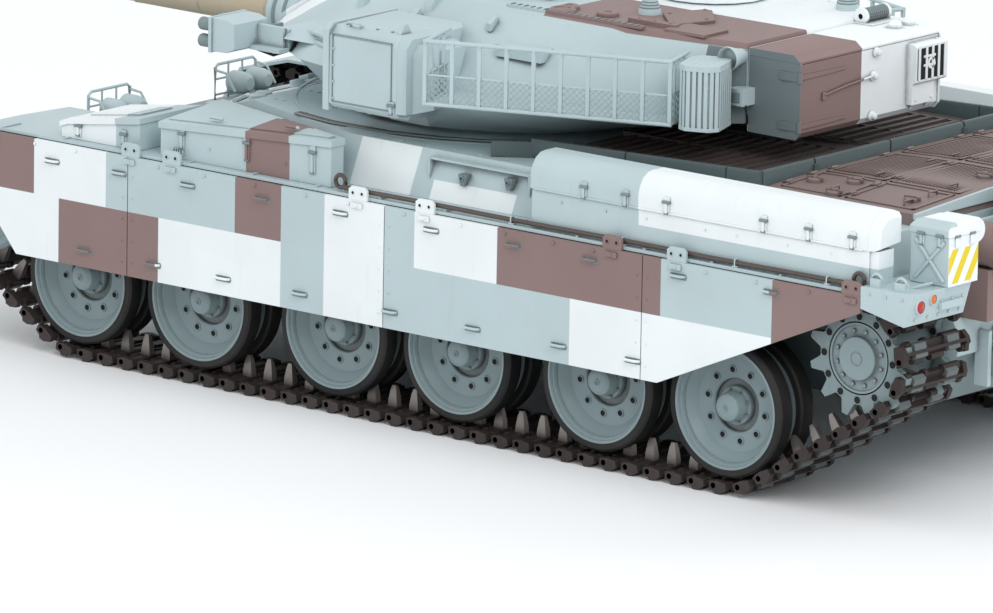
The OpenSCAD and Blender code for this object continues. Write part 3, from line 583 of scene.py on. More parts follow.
def turret_paint():
    rows = [
        (WHITE, -90, 6.5, 96, 240, 100, 170),
        (BROWN, 6.5, 48, 116, 204, 143.5, 170),
        (BROWN, 5, 40.85, 204.5, 240, 100, 170),
        # The two dark grey blocks are painted shade behind the left basket, on the pack's side and on the
        # turret wall.
        (PAINTED_SHADE_GREY, 40.8, 43, 204, 240, 100, 170), (PAINTED_SHADE_GREY, 41, 90, 188, 204.5, 100, 143.4),
        (WHITE, 40, 90, 59.5, 78.3, 100, 109.2), (BROWN, 40, 90, 50, 59.5, 100, 109.2),
        (BROWN, -60, -20, -30, 30, 100, 170), (WHITE, -20, 30, -30, 8, 100, 170),
    ]
    return paint("turret_finish", GREY, [(c, tuple(b)) for c, *b in rows], chips=0.45, grime=0.75)


def stripe_paint():
    """Locker grey, with a slanted warning pattern on the lower rear face."""
    mat = paint("stripe_locker_finish", WHITE, [(GREY, (86, 120, 300, 330.6, 60, 120))], chips=0.3,
            grime=0.5)
    if "stripes" in mat:
        return mat
    mat["stripes"] = True
    w = Wires(mat.node_tree)
    wear = next(n for n in mat.node_tree.nodes if n.type == "GROUP" and n.node_tree.name == "PaintWear")
    under = wear.inputs["Color"].links[0].from_socket
    pos = w.node("TexCoord").outputs["Object"]
    s = w.node("SeparateXYZ")
    w.link(pos, s.inputs[0])
    slant = w.math("ADD", s.outputs[0], w.math("MULTIPLY", s.outputs[2], 0.62))
    wave = w.math("PINGPONG", w.math("ADD", slant, 1.0), 0.0036)
    band = w.ramp(wave, 0.0017, 0.0019)
    rear = w.ramp(s.outputs[1], 0.3306, 0.3309)
    low = w.ramp(s.outputs[2], 0.0985, 0.0981)
    lift = w.ramp(s.outputs[2], 0.0862, 0.0865)
    area = w.math("MULTIPLY", w.math("MULTIPLY", rear, low), lift)
    tint = w.mix(band, (0.86, 0.90, 0.90, 1), (0.80, 0.62, 0.02, 1))
    w.link(w.mix(area, under, tint), wear.inputs["Color"])
    return mat


# ---- running gear


def wheel_mesh():
    """Twin dished road wheel; local origin at the wheel's centre, +X outward."""
    s = Shape()
    f = WHEEL_FACE - WHEEL_HUB_X
    o = (0, 0, 0)
    steel, rubber, dark = 0, 1, 2
    for x0 in (f - 7.5, f - 19.4):
        tyre = [(x0 + 0.3, 21.9), (x0 + 0.3, 24.0), (x0 + 0.9, 24.8), (x0 + 1.6, 25.0), (x0 + 5.9, 25.0),
                (x0 + 6.6, 24.8), (x0 + 7.2, 24.0), (x0 + 7.2, 21.9)]
        s.turned("x", o, tyre, 96, rubber)
    dish = [
        (f - 7.4, 21.9), (f - 0.1, 21.95), (f, 21.7), (f - 0.1, 21.2), (f - 0.7, 20.95), (f - 1.2, 20.8),
        (f - 1.3, 20.2), (f - 1.7, 20.0), (f - 2.9, 19.8), (f - 3.0, 19.2), (f - 3.5, 18.9),
        (f - 5.2, 17.6), (f - 6.6, 16.5), (f - 7.0, 15.4), (f - 7.0, 10.6), (f - 6.8, 9.9), (f - 7.2, 9.55),
        (f - 8.6, 9.3), (f - 8.8, 8.8), (f - 8.6, 7.0), (f - 6.4, 6.9), (f - 5.9, 6.7), (f - 5.8, 5.5),
        (f - 5.5, 5.35), (f - 3.2, 5.25), (f - 1.4, 4.8), (f - 0.7, 4.0), (f - 0.35, 2.6), (f - 0.3, 1.25),
        (f - 0.05, 1.15), (f, 0.9), (f - 0.4, 0.5), (f - 0.5, 0.01),
    ]
    s.turned("x", o, dish, 96, steel)
    back = [(f - 7.4, 21.9), (f - 7.5, 14), (f - 12, 11.4), (f - 12, 21.9), (f - 19.3, 21.9),
            (f - 19.3, 20.8),
            (f - 16, 19.5), (f - 15.5, 11.4), (f - 20.4, 11.2), (f - 20.6, 8), (f - 25.6, 5.4),
            (f - 25.8, 3.1)]
    s.turned("x", o, back, 64, steel)
    for k in range(10):
        a = radians(36 * k + 9)
        c = (0, 12.7 * cos(a), 12.7 * sin(a))
        ring = [(f - 6.9, 1.5), (f - 6.65, 1.35), (f - 6.6, 1.05), (f - 7.3, 0.95), (f - 7.4, 0.01)]
        s.turned("x", c, ring[:3], 14, steel)
        # The near-black discs at the bottom of the ten holes are painted shade.
        s.turned("x", c, [(f - 6.62, 1.05), (f - 6.95, 0.98), (f - 7.0, 0.01)], 14, dark)
    for k in range(8):
        a = radians(45 * k + 20)
        s.turned("x", (0, 6.15 * cos(a), 6.15 * sin(a)),
                 [(f - 5.9, 0.42), (f - 5.3, 0.42), (f - 5.2, 0.25)], 6, steel, True)
    # Near-black disc in the hub's centre: painted shade.
    s.turned("x", o, [(f - 0.49, 0.45), (f - 0.46, 0.01)], 12, dark)
    return s


def spoked_roller(width0, width1, r, hub, local_face):
    """Idler or return roller with two rims; local origin at its centre."""
    s = Shape()
    o = (0, 0, 0)
    for x0, x1 in (width0, width1):
        s.turned("x", o, [(x0, hub), (x0, r * 0.78), (x0 + 0.8, r - 0.5), (x0 + 1.3, r), (x1 - 1.3, r),
                (x1 - 0.8, r - 0.5),
                          (x1, r * 0.93), (x1 - 0.5, r * 0.86), (x1 - 2.2, r * 0.78), (x1 - 2.4, hub)], 64)
    s.turned("x", o, [(width0[0] - 8 if r > 10 else width0[0], hub * 0.8), (width0[0], hub),
            (local_face - 2.4, hub),
                      (local_face - 0.4, hub * 0.8), (local_face, hub * 0.55), (local_face, 0.01)], 40)
    return s


def sprocket_mesh():
    s = Shape()
    o = (0, 0, 0)
    root, tip, slot_r = 16.75, 21.25, 14.75
    for cx in (74.0 - END_HUB_X, 99.4 - END_HUB_X):
        outer = []
        for k in range(12):
            base = 30 * k + 15
            for da, r in ((-9.2, root), (-7.4, root + 1.2), (-4.4, root + 3.4), (-3.2, tip), (3.2, tip),
                    (4.4, root + 3.4),
                          (7.4, root + 1.2), (9.2, root), (12.5, root - 0.5), (15, root - 0.65),
                          (17.5, root - 0.5)):
                outer.append((radians(base + da), r))
        x0, x1 = cx - 1.6, cx + 1.6
        inner = [(a, 12.4) for a, r in outer]
        rings = []
        for x, ring in ((x0, inner), (x0, outer), (x1, outer), (x1, inner)):
            rings.append([(x, r * cos(a), r * sin(a)) for a, r in ring])
        s.loft(rings, 0, caps=False)
        for k in range(12):
            a = radians(30 * k)
            c = (0, slot_r * cos(a), slot_r * sin(a))
            s.turned("x", c, [(cx + 1.58, 1.75), (cx + 1.78, 1.6), (cx + 1.78, 1.3)], 16, 0)
            # The near-black discs inside the bosses are painted shade.
            s.turned("x", c, [(cx + 1.8, 1.3), (cx + 1.62, 1.2), (cx + 1.62, 0.01)], 16, 2)
    hub = [(-16, 13.1), (9.4, 13.1), (11.0, 12.9), (11.0, 11.7), (10.3, 11.5), (10.2, 7.9), (10.4, 7.7),
            (12.0, 7.6),
           (12.2, 7.4), (12.2, 2.6), (12.0, 2.5), (12.0, 2.1), (12.2, 2.0), (12.2, 0.01)]
    s.turned("x", o, hub, 64, 1)
    s.turned("x", o, [(-16.2, 13.1), (-16.2, 5)], 48, 1)
    for k in range(12):
        a = radians(30 * k + 15)
        s.turned("x", (0, 9.7 * cos(a), 9.7 * sin(a)), [(10.2, 0.75), (10.9, 0.75), (11.05, 0.5)], 6, 1,
                True)
    return s


def run_angle(a, b):
    d = hypot(b[0] - a[0], b[1] - a[1])
    return atan2(b[1] - a[1], b[0] - a[0]) - acos((a[2] - b[2]) / d)


def track_frames(count):
    """Evenly spaced frames round the inner face of a track: (y, z, outward angle)."""
    circles = [(WHEEL_Y[0], WHEEL_Z, 25.3), (WHEEL_Y[5], WHEEL_Z, 25.3), SPROCKET, IDLER]
    spans, parts = [], []
    for i, c in enumerate(circles):
        before = run_angle(circles[i - 1], c)
        after = run_angle(c, circles[(i + 1) % 4])
        while after < before:
            after += 2 * pi
        spans.append((before, after))
        nxt = circles[(i + 1) % 4]
        d = hypot(nxt[0] - c[0], nxt[1] - c[1])
        parts += [c[2] * (after - before), sqrt(d * d - (c[2] - nxt[2]) ** 2)]
    total = sum(parts)
    frames = []
    for k in range(count):
        s = total * k / count
        i = 0
        while s > parts[i] and i < 7:
            s -= parts[i]
            i += 1
        c = circles[i // 2]
        a0, a1 = spans[i // 2]
        if i % 2 == 0:
            a = a0 + (a1 - a0) * s / parts[i]
            frames.append((c[0] + c[2] * cos(a), c[1] + c[2] * sin(a), a))
        else:
            a = a1
            frames.append((c[0] + c[2] * cos(a) - s * sin(a), c[1] + c[2] * sin(a) + s * cos(a), a))
    return frames, total


def link_shape(pitch):
    """One track link: u runs along the track, v outward from the inner face. Drawn as (x, u, v)."""
    s = Shape()
    h = pitch / 2
    metal, pad, horn, dark = 0, 1, 2, 3
    x0, x1 = TRACK_IN, TRACK_OUT
    # Two webs, a hollow middle bar and the pin tubes at both ends.
    s.prism("x", x0 + 2.4, x1 - 2.6, [(-h * 0.55, 1.2), (h * 0.55, 1.2), (h * 0.55, 3.2), (-h * 0.55, 3.2)],
            metal)
    for xa, xb in ((x0 + 6, x0 + 12.4), (x1 - 13.2, x1 - 6.6)):
        s.prism("x", xa, xb, [(-h * 0.62, 3.1), (h * 0.62, 3.1), (h * 0.5, 5.1), (-h * 0.5, 5.1)], pad)
    for xa, xb in ((x0, x0 + 3.6), (x1 - 3.6, x1), (x0 + 14, x0 + 21), (x1 - 12.6, x1 - 7.0)):
        s.turned("x", (0, -h * 0.62, 2.3), [(xa, 1.55), (xb, 1.55)], 14, metal, True)
    for xa, xb in ((x0 + 4, x0 + 13), (x0 + 22, x1 - 14), (x1 - 6.4, x1 - 3.8)):
        s.turned("x", (0, h * 0.48, 2.3), [(xa, 1.5), (xb, 1.5)], 14, metal, True)
    # Outer connector with its pin end, seen along the edge of the track.
    for xa, xb in ((x0, x0 + 2.2), (x1 - 2.4, x1)):
        s.prism("x", xa, xb, [(-h * 0.95, 1.0), (-h * 0.2, 0.5), (h * 0.55, 1.1), (h * 0.6, 3.4),
                (h * 0.1, 5.0),
                              (-h * 0.35, 5.3), (-h * 0.5, 4.3), (-h * 0.95, 3.7)], metal)
    for x, sign in ((x1, 1), (x0, -1)):
        s.turned("x", (x, -h * 0.55, 2.35), [(-0.3 * sign, 1.75), (0.02 * sign, 1.7), (0.02 * sign, 1.05),
                (-0.25 * sign, 0.95)], 16, metal)
        # Near-black disc in each pin's end: painted shade in its hollow.
        s.turned("x", (x, -h * 0.55, 2.35), [(-0.12 * sign, 1.0), (-0.1 * sign, 0.01)], 12, dark)
    # Hooked cleat across the outside of the link.
    s.prism("x", x0 + 1.6, x1 - 1.6, [(-h * 0.3, 3.0), (-h * 0.02, 3.0), (h * 0.02, 5.25),
            (-h * 0.22, 5.28)], metal)
    # Guide horn, slimmer towards its tip.
    hx = WHEEL_FACE - 7.5 - 2.2
    rings = []
    for v, du, dx in ((1.6, 2.1, 1.45), (-1.2, 1.9, 1.35), (-4.6, 1.35, 1.0), (-6.6, 0.8, 0.6)):
        rings.append([(hx - dx, -du, v), (hx + dx, -du, v), (hx + dx, du, v), (hx - dx, du, v)])
    s.loft(rings, horn)
    return s


def track_shape():
    count = bpy.context.scene.tank_sizes.links
    frames, total = track_frames(count)
    link = link_shape(total / count)
    out = Shape()
    for y, z, a in frames:
        ca, sa = cos(a), sin(a)
        # Columns: x, along the track, outward.
        m = Matrix(((1, 0, 0, 0), (0, -sa, ca, y), (0, ca, sa, z), (0, 0, 0, 1)))
        out.moved(m, link)
    return out


def build_running_gear():
    wheel_steel = plain("wheel_finish", "wheel")
    rubber = plain("tyre_rubber", "rubber")
    # Near-black painted shade for the bottoms of holes in the wheels, sprockets and track pins.
    dark = plain("dark_hole", "hole")
    wheel = wheel_mesh().mesh("road_wheel")
    finish_mesh(wheel, 30)
    for m in (wheel_steel, rubber, dark):
        wheel.materials.append(m)
    idler = spoked_roller((-7.5, 0.0), (4.4, 11.9), 19.7, 8.0, 11.9).mesh("idler")
    roller = spoked_roller((-10.0, 0.0), (4.4, 10.0), 7.6, 4.6, 10.0).mesh("return_roller")
    for d in (idler, roller):
        finish_mesh(d, 30)
        d.materials.append(wheel_steel)
    sprocket = sprocket_mesh().mesh("sprocket")
    finish_mesh(sprocket, 30)
    for m in (plain("sprocket_teeth", "grey_dark"), wheel_steel, dark):
        sprocket.materials.append(m)
    track_mats = [plain("track_metal_finish", "track"), plain("track_pad", "pad"),
            plain("track_horn", "horn"), dark]
    track = track_shape()
    roller_z = 73.5 - 0.3 - 7.6
    for side, sg in (("left", 1), ("right", -1)):
        turn = Matrix.Identity(4) if sg > 0 else Matrix.Rotation(pi, 4, "Z")
        for n, y in enumerate(WHEEL_Y):
            spin = Matrix.Rotation(pi / 2 * (n % 4), 4, "X")
            node = "wheel_%s_%d" % (side, n + 1)
            at = Matrix.Translation((sg * WHEEL_HUB_X * MM, y * MM, WHEEL_Z * MM))
            piece(node + "_look", None, None, node, [node], 0, place=at @ turn @ spin,
                    data=wheel)
        at = Matrix.Translation((sg * END_HUB_X * MM, IDLER[0] * MM, IDLER[1] * MM))
        piece("idler_%s_look" % side, None, None, "idler_" + side, ["idler_" + side],
                0,
              place=at @ turn, data=idler)
        at = Matrix.Translation((sg * END_HUB_X * MM, SPROCKET[0] * MM, SPROCKET[1] * MM))
        piece("sprocket_%s_look" % side, None, None, "sprocket_" + side, ["sprocket_" + side],
                0,
              place=at @ turn, data=sprocket)
        for i in (1, 2):
            y = BOGIE_MID + (i * 2 - 3) * BOGIE_PITCH / 2
            node = "roller_%s_%d" % (side, i)
            at = Matrix.Translation((sg * END_HUB_X * MM, y * MM, roller_z * MM))
            piece(node + "_look", None, None, node, [node], 0, place=at @ turn,
                    data=roller)
        shape = track if sg > 0 else track.mirrored()
        piece("track_%s_look" % side, shape, track_mats, "hull", ["track_" + side], 0, 35)


def build_suspension():
    grey = plain("bogie_finish", "wheel")
    s = Shape()
    for k in (-1, 0, 1):
        c = BOGIE_MID + k * BOGIE_PITCH
        s.prism("x", 62.0, 67.0, [(c - 18, 38), (c + 18, 38), (c + 12, 56), (c + 7, 62), (c - 7, 62),
                (c - 12, 56)])
        s.prism("x", 66.9, 67.4, [(c - 14, 40), (c + 14, 40), (c + 9, 55), (c + 5, 60), (c - 5, 60),
                (c - 9, 55)])
        for dy, z in ((-15, 40.5), (15, 40.5), (-10, 55), (10, 55), (-5, 60), (5, 60)):
            s.bolt("x", (67.2, c + dy, z), 0.9, 0.7)
        for sg in (-1, 1):
            y = c + sg * 9.4
            s.turned("x", (0, y, 45), [(66, 3.5), (74.5, 3.5), (74.5, 4.6), (76.0, 4.6), (76.4, 4.2),
                    (76.4, 1.2), (76.0, 0.01)], 32)
            for q in range(5):
                a = radians(72 * q)
                s.bolt("x", (76.4, y + 3 * cos(a), 45 + 3 * sin(a)), 0.4, 0.35)
        s.turned("y", (71.5, 0, 56.5), [(c - 14.5, 0.01), (c - 14.5, 4.2), (c - 14.1, 4.6), (c - 13, 4.6),
                (c - 13, 3.4)], 32)
        s.turned("y", (71.5, 0, 56.5), [(c + 13, 3.4), (c + 13, 4.6), (c + 14.1, 4.6), (c + 14.5, 4.2),
                (c + 14.5, 0.01)], 32)
        coils = [(71.5 + 2.9 * cos(t), c - 12.5 + 25 * t / (2 * pi * 8), 56.5 + 2.9 * sin(t))
                 for t in [2 * pi * 8 * i / 128 for i in range(129)]]
        s.tube(coils, 0.65, 8, 1)
        s.rod("y", c - 13, c + 13, (71.5, 0, 56.5), 1.6, 16)
        s.box(66.5, 70, c - 5, c + 5, 54, 59)
    s.both()
    piece("bogie_brackets_look", s, [grey, plain("spring_finish", "grey_dark")], "hull", ["bogie_brackets"],
          0.25)
    for side, sg in (("left", 1), ("right", -1)):
        for n in range(6):
            c = BOGIE_MID + (n // 2 - 1) * BOGIE_PITCH
            way = -1 if n % 2 == 0 else 1
            py, wy = c + way * 9.4, WHEEL_Y[n]
            d = hypot(wy - py, WHEEL_Z - 45)
            ang = atan2(WHEEL_Z - 45, wy - py)
            a = Shape()
            arm = []
            for u, v in ((0, -4.6), (d * 0.5, -3.5), (d, -3.8), (d, 3.8), (d * 0.5, 3.5), (0, 4.6)):
                arm.append((py + u * cos(ang) - v * sin(ang), 45 + u * sin(ang) + v * cos(ang)))
            a.prism("x", 69.6, 73.4, arm)
            a.turned("x", (0, py, 45), [(67.6, 3.6), (67.6, 5.6), (68, 6), (73.6, 6), (74, 5.6), (74, 3.6)],
                    40)
            a.turned("x", (0, wy, WHEEL_Z), [(69, 0.01), (69, 5.2), (69.4, 5.6), (74.6, 5.6), (75, 5.2),
                    (75, 3), (97, 3), (97, 0.01)], 40)
            node = "arm_%s_%d" % (side, n + 1)
            piece(node + "_look", a if sg > 0 else a.mirrored(), [grey], node, [node],
                    0.3)


# ---- hull


def latch(s, x, y, z, mat=0, tall=6.0, dark=1):
    """Toggle latch on a side face, proud of it along +X."""
    s.box(x - 0.2, x + 0.5, y - 1.3, y + 1.3, z, z + tall, mat)
    s.rod("y", y - 1.7, y + 1.7, (x + 0.7, 0, z + tall * 0.72), 0.55, 12, dark)
    s.box(x + 0.3, x + 1.0, y - 0.55, y + 0.55, z + 0.4, z + tall * 0.66, mat)
    s.rod("y", y - 0.9, y + 0.9, (x + 0.6, 0, z + 0.5), 0.45, 10, dark)


def grip(s, x, y, z, mat=0, dark=1):
    """Small grip bar on the skirt, over a flat dark patch that is painted shade of a recess."""
    s.prism("x", x - 0.1, x + 0.12, [(y - 3.4, z - 1.1), (y + 3.4, z - 1.1), (y + 3.9, z),
            (y + 3.4, z + 1.1),
                                       (y - 3.4, z + 1.1), (y - 3.9, z)], dark)
    s.tube([(x, y - 3, z + 0.2), (x + 1.1, y - 2.7, z + 0.3), (x + 1.5, y - 1.8, z + 0.3),
            (x + 1.5, y + 1.8, z + 0.3),
            (x + 1.1, y + 2.7, z + 0.3), (x, y + 3, z + 0.2)], 0.52, 8, mat)


def build_skirts():
    camo = skirt_paint()
    dark = plain("dark_line", "grey_dark")
    hole = plain("dark_hole", "hole")
    outline = [(-80.9, 37), (219.2, 37), (307, 75.6), (307, 81.4), (-97, 81.4), (-97, 56)]
    seams = [-97, -26.7, 94.7, 211.9, 307]
    s = Shape()
    for a, b in zip(seams, seams[1:]):
        lo = a + (0.18 if a > -97 else 0)
        hi = b - (0.18 if b < 307 else 0)
        s.prism("x", SKIRT_X - 1.6, SKIRT_X, clip_outline(outline, lo, hi))
    # Stiffening fold behind the lower edge.
    s.box(SKIRT_X - 3.0, SKIRT_X - 1.5, -78, 216, 37.6, 38.8)
    for y in (-25.8, -6.1, 82, 113, 198, 226.6, 303):
        w = 4.2
        s.prism("x", SKIRT_X - 1.4, SKIRT_X - 0.2, [(y - w, 80), (y + w, 80), (y + w, 85.2),
                (y + w - 1.4, 86.4),
                                                      (y - w + 1.4, 86.4), (y - w, 85.2)])
        for dy in (-2.1, 2.1):
            s.turned("x", (0, y + dy, 84.0), [(SKIRT_X - 0.25, 1.0), (SKIRT_X, 0.95), (SKIRT_X, 0.6)], 12)
            # Near-black discs in the tab holes: painted shade.
            s.turned("x", (0, y + dy, 84.0), [(SKIRT_X - 0.1, 0.62), (SKIRT_X - 0.12, 0.01)], 10, 2)
        s.box(SKIRT_X - 0.1, SKIRT_X + 0.7, y - 2.6, y + 2.6, 78.6, 80.6)
        s.bolt("x", (SKIRT_X + 0.6, y, 79.6), 0.8, 0.5)
    for y in (-90, -72, -52, -12, 10, 34, 58, 78, 104, 130, 150, 172, 190, 240, 262, 285):
        s.bolt("x", (SKIRT_X, y, 79.7), 0.7, 0.5)
    for a in (-26.7, 94.7, 211.9):
        for z in (42, 50, 58, 66, 74):
            for dy in (-2.3, 2.3):
                s.bolt("x", (SKIRT_X, a + dy, z), 0.35, 0.3)
    for y, z in ((-63.4, 74.3), (-30.8, 74.6), (2.2, 75), (37.5, 75.3), (74.3, 75.6), (116.4, 75.8),
            (154.1, 76),
                 (188.5, 76.2), (227.9, 76.4), (268.8, 77.0)):
        grip(s, SKIRT_X, y, z)
    for y in (-47.4, -13.9, 19.6, 55.9, 98, 136.1, 175.2, 208.5):
        grip(s, SKIRT_X, y, 43.2)
    s.both()
    piece("skirts_look", s, [camo, dark, hole], "hull", ["skirt_panels"], 0.22)


def build_guards():
    grey = plain("guard_finish", "grey")
    hole = plain("dark_hole", "hole")
    s = Shape()
    gx = SKIRT_X - 1.7
    s.prism("x", 62.1, gx, [(307, 81.6), (307, 82.8), (-97, 82.8), (-121, 76.3), (-130.4, 62), (-129, 62),
            (-119.6, 75.4),
                              (-96.5, 81.6)])
    for y in range(-90, 300, 30):
        s.box(98, gx - 0.5, y, y + 1.2, 82.7, 83.3)
    # Tail piece.
    s.prism("x", 107.8, SKIRT_X, [(307.2, 77.4), (307.2, 85.2), (329.2, 85.2), (326, 73.5)])
    s.prism("x", 75.5, 107.9, [(307.2, 84.0), (307.2, 85.2), (329.2, 85.2), (329.0, 84.0)])
    s.prism("x", 75.5, 107.9, [(328.0, 84.2), (329.2, 85.0), (326, 73.5), (324.8, 73.5)])
    s.box(75.5, 76.8, 308, 327, 77, 84.2)
    for y in (311, 318, 325):
        s.bolt("x", (SKIRT_X - 0.05, y, 83), 0.6, 0.4)
    for x in (79, 85, 91, 97, 104):
        s.bolt("y", (x, 327.9, 80.5), 0.6, 0.5)
        s.bolt("y", (x, 326.6, 75.5), 0.6, 0.5)
    for y in (312, 322):
        s.bolt("z", (104.5, y, 85.1), 0.7, 0.4)
        s.bolt("z", (79, y, 85.1), 0.7, 0.4)
    s.both()
    piece("guards_look", s, [grey, hole], "hull", ["trackguards"], 0.22)


def locker_detail(s, x, ys, z0, z1):
    for y in ys:
        latch(s, x, y, z0, 0, z1 - z0)


def build_bins():
    camo = bin_paint()
    dark = plain("dark_line", "grey_dark")
    s = Shape()
    g = GUARD_Z + 0.1
    # Foremost bin: body and overlapping lid.
    s.prism("x", 70, 104.2, [(-63.4, g), (-25.6, g), (-25.6, 93.4), (-60, 89.0), (-63.4, 87.4)])
    s.prism("x", 70, 105, [(-64, 86.6), (-64, 88.6), (-60, 90.2), (-25, 95), (-25, 92.8), (-60, 88.0)])
    s.prism("x", 80, 98, [(-55, 90.6), (-55, 91.5), (-31, 94.9), (-31, 94)])
    locker_detail(s, 104.2, (-55, -33), 84, 89.6)
    # Tapering bin beside the turret.
    body = [(70.2, -15.4), (104.3, -15.4), (104.3, 65.4), (97.4, 65.4)]
    low = [(x, y, g) for x, y in body]
    high = [(x, y, 93.6 + (y + 16) * 0.055 + (2.6 if x < 80 else 0)) for x, y in body]
    s.loft([low, high])
    rim = [(69.4, -16), (105, -16), (105, 66), (97.2, 66)]
    edge = [(x, y, 93.0 + (y + 16) * 0.055 + (3.0 if x < 80 else 0)) for x, y in rim]
    top = [(x, y, z + 2.5) for x, y, z in edge]
    s.loft([edge, top])
    inner = [(74, -13.5), (102, -13.5), (102, 62.5), (98.8, 62.5)]
    s.loft([[(x, y, 95.2 + (y + 16) * 0.055 + (2.6 if x < 80 else 0)) for x, y in inner],
            [(x, y, 96.3 + (y + 16) * 0.055 + (2.6 if x < 80 else 0)) for x, y in inner]])
    for y in (-5, 26, 57):
        latch(s, 104.3, y, 86.6, 0, 7.4 + (y + 16) * 0.05)
    for y in (8, 44):
        s.rod("y", y - 3, y + 3, (100.5, 0, 98 + (y + 16) * 0.055), 0.6, 10)
        s.bolt("x", (104.3, y, 88.5), 0.6, 0.4)
    # Ribbed grip on the inner corner of the bin's lid.
    for k in range(5):
        s.box(103.0, 105.2, -9 + k * 1.1, -8.5 + k * 1.1, 84.4, 86.6)
    # Long bin at the rear: sloped lid, piano hinge, rounded end.
    prof = [(95.5, g), (105.2, g), (105.2, 97.6), (95.5, 97.6)]
    s.prism("y", 158.6, 307.4, prof)
    lid = [(91.5, 98.2), (105.6, 96.8), (105.6, 101.6), (104.9, 104.4), (103.0, 107.3), (100.2, 109.0),
            (97.5, 109.3),
           (91.5, 109.3)]
    s.prism("y", 158, 307, lid)
    mid_x, mid_z = 97.5, 101.5
    ring0 = [(x, 307, z) for x, z in lid]
    ring1 = [(mid_x + (x - mid_x) * 0.97, 309.6, mid_z + (z - mid_z) * 0.96) for x, z in lid]
    ring2 = [(mid_x + (x - mid_x) * 0.82, 311.3, mid_z + (z - mid_z) * 0.80) for x, z in lid]
    s.loft([ring0, ring1, ring2])
    s.prism("x", 96, 104.6, [(307.3, g), (310.6, g), (311.0, 92), (311.0, 97), (307.3, 97)])
    for y in (182.4, 201, 219.3, 262, 281.6, 300.5):
        latch(s, 105.5, y, 96.4, 0, 6.2)
    for y in (172, 192, 210, 236, 250, 272, 291):
        s.bolt("x", (105.2, y, 93.5), 0.5, 0.35)
    s.rod("y", 160, 305, (105.5, 0, 96.9), 0.45, 10)
    s.both()
    piece("bins_look", s, [camo, dark], "hull", ["stowage_bins"], 0.35)


def cable_route():
    """Centre line of the tow cable, matching its solids in the frame."""
    return [(106.7 + 0.05 * sin(y * 0.11), y, 84.5 + 0.1 * sin(y * 0.07))
            for y in (74.5 + 2.5 * k for k in range(92))]


def build_cable():
    """Six strands laid round the route, eyes at both ends, clips along the guard."""
    wire = plain("cable_wire", "wire")
    clip = plain("cable_clip", "grey")
    route = [Vector(p) for p in cable_route()]
    fine = []
    for a, b in zip(route, route[1:]):
        for k in range(3):
            fine.append(a.lerp(b, k / 3))
    s = Shape()
    along = 0.0
    dist = [0.0]
    for a, b in zip(fine, fine[1:]):
        along += (b - a).length
        dist.append(along)
    for k in range(6):
        pts = []
        for p, d in zip(fine, dist):
            a = 2 * pi * (d / 7.5 + k / 6)
            pts.append((p.x + 0.54 * cos(a), p.y, p.z + 0.54 * sin(a)))
        s.tube(pts, 0.4, 6, 0)
    for y, sign in ((72, 1), (304.5, -1)):
        loop = [(106.7, y + 2.3 * cos(t),
                86.6 + 2.3 * sin(t)) for t in [2 * pi * i / 28 for i in range(28)]]
        s.tube(loop, 0.8, 8, 0, closed=True)
        s.rod("y", min(y + sign * 2, y + sign * 9), max(y + sign * 2, y + sign * 9), (106.7, 0, 84.6), 0.98,
                16, 0)
    for y in (80, 110, 150, 200, 250, 290):
        s.box(105.7, 107.6, y, y + 2.0, 82.9, 83.5, 1)
        arch = [(105.8, y + 1, 83.2), (105.8, y + 1, 85.3), (106.2, y + 1, 85.7), (107.2, y + 1, 85.7),
                (107.5, y + 1, 85.3), (107.5, y + 1, 83.2)]
        s.tube(arch, 0.28, 8, 1)
    s.both()
    piece("tow_cable_look", s, [wire, clip], "hull", ["tow_cable"], 0)


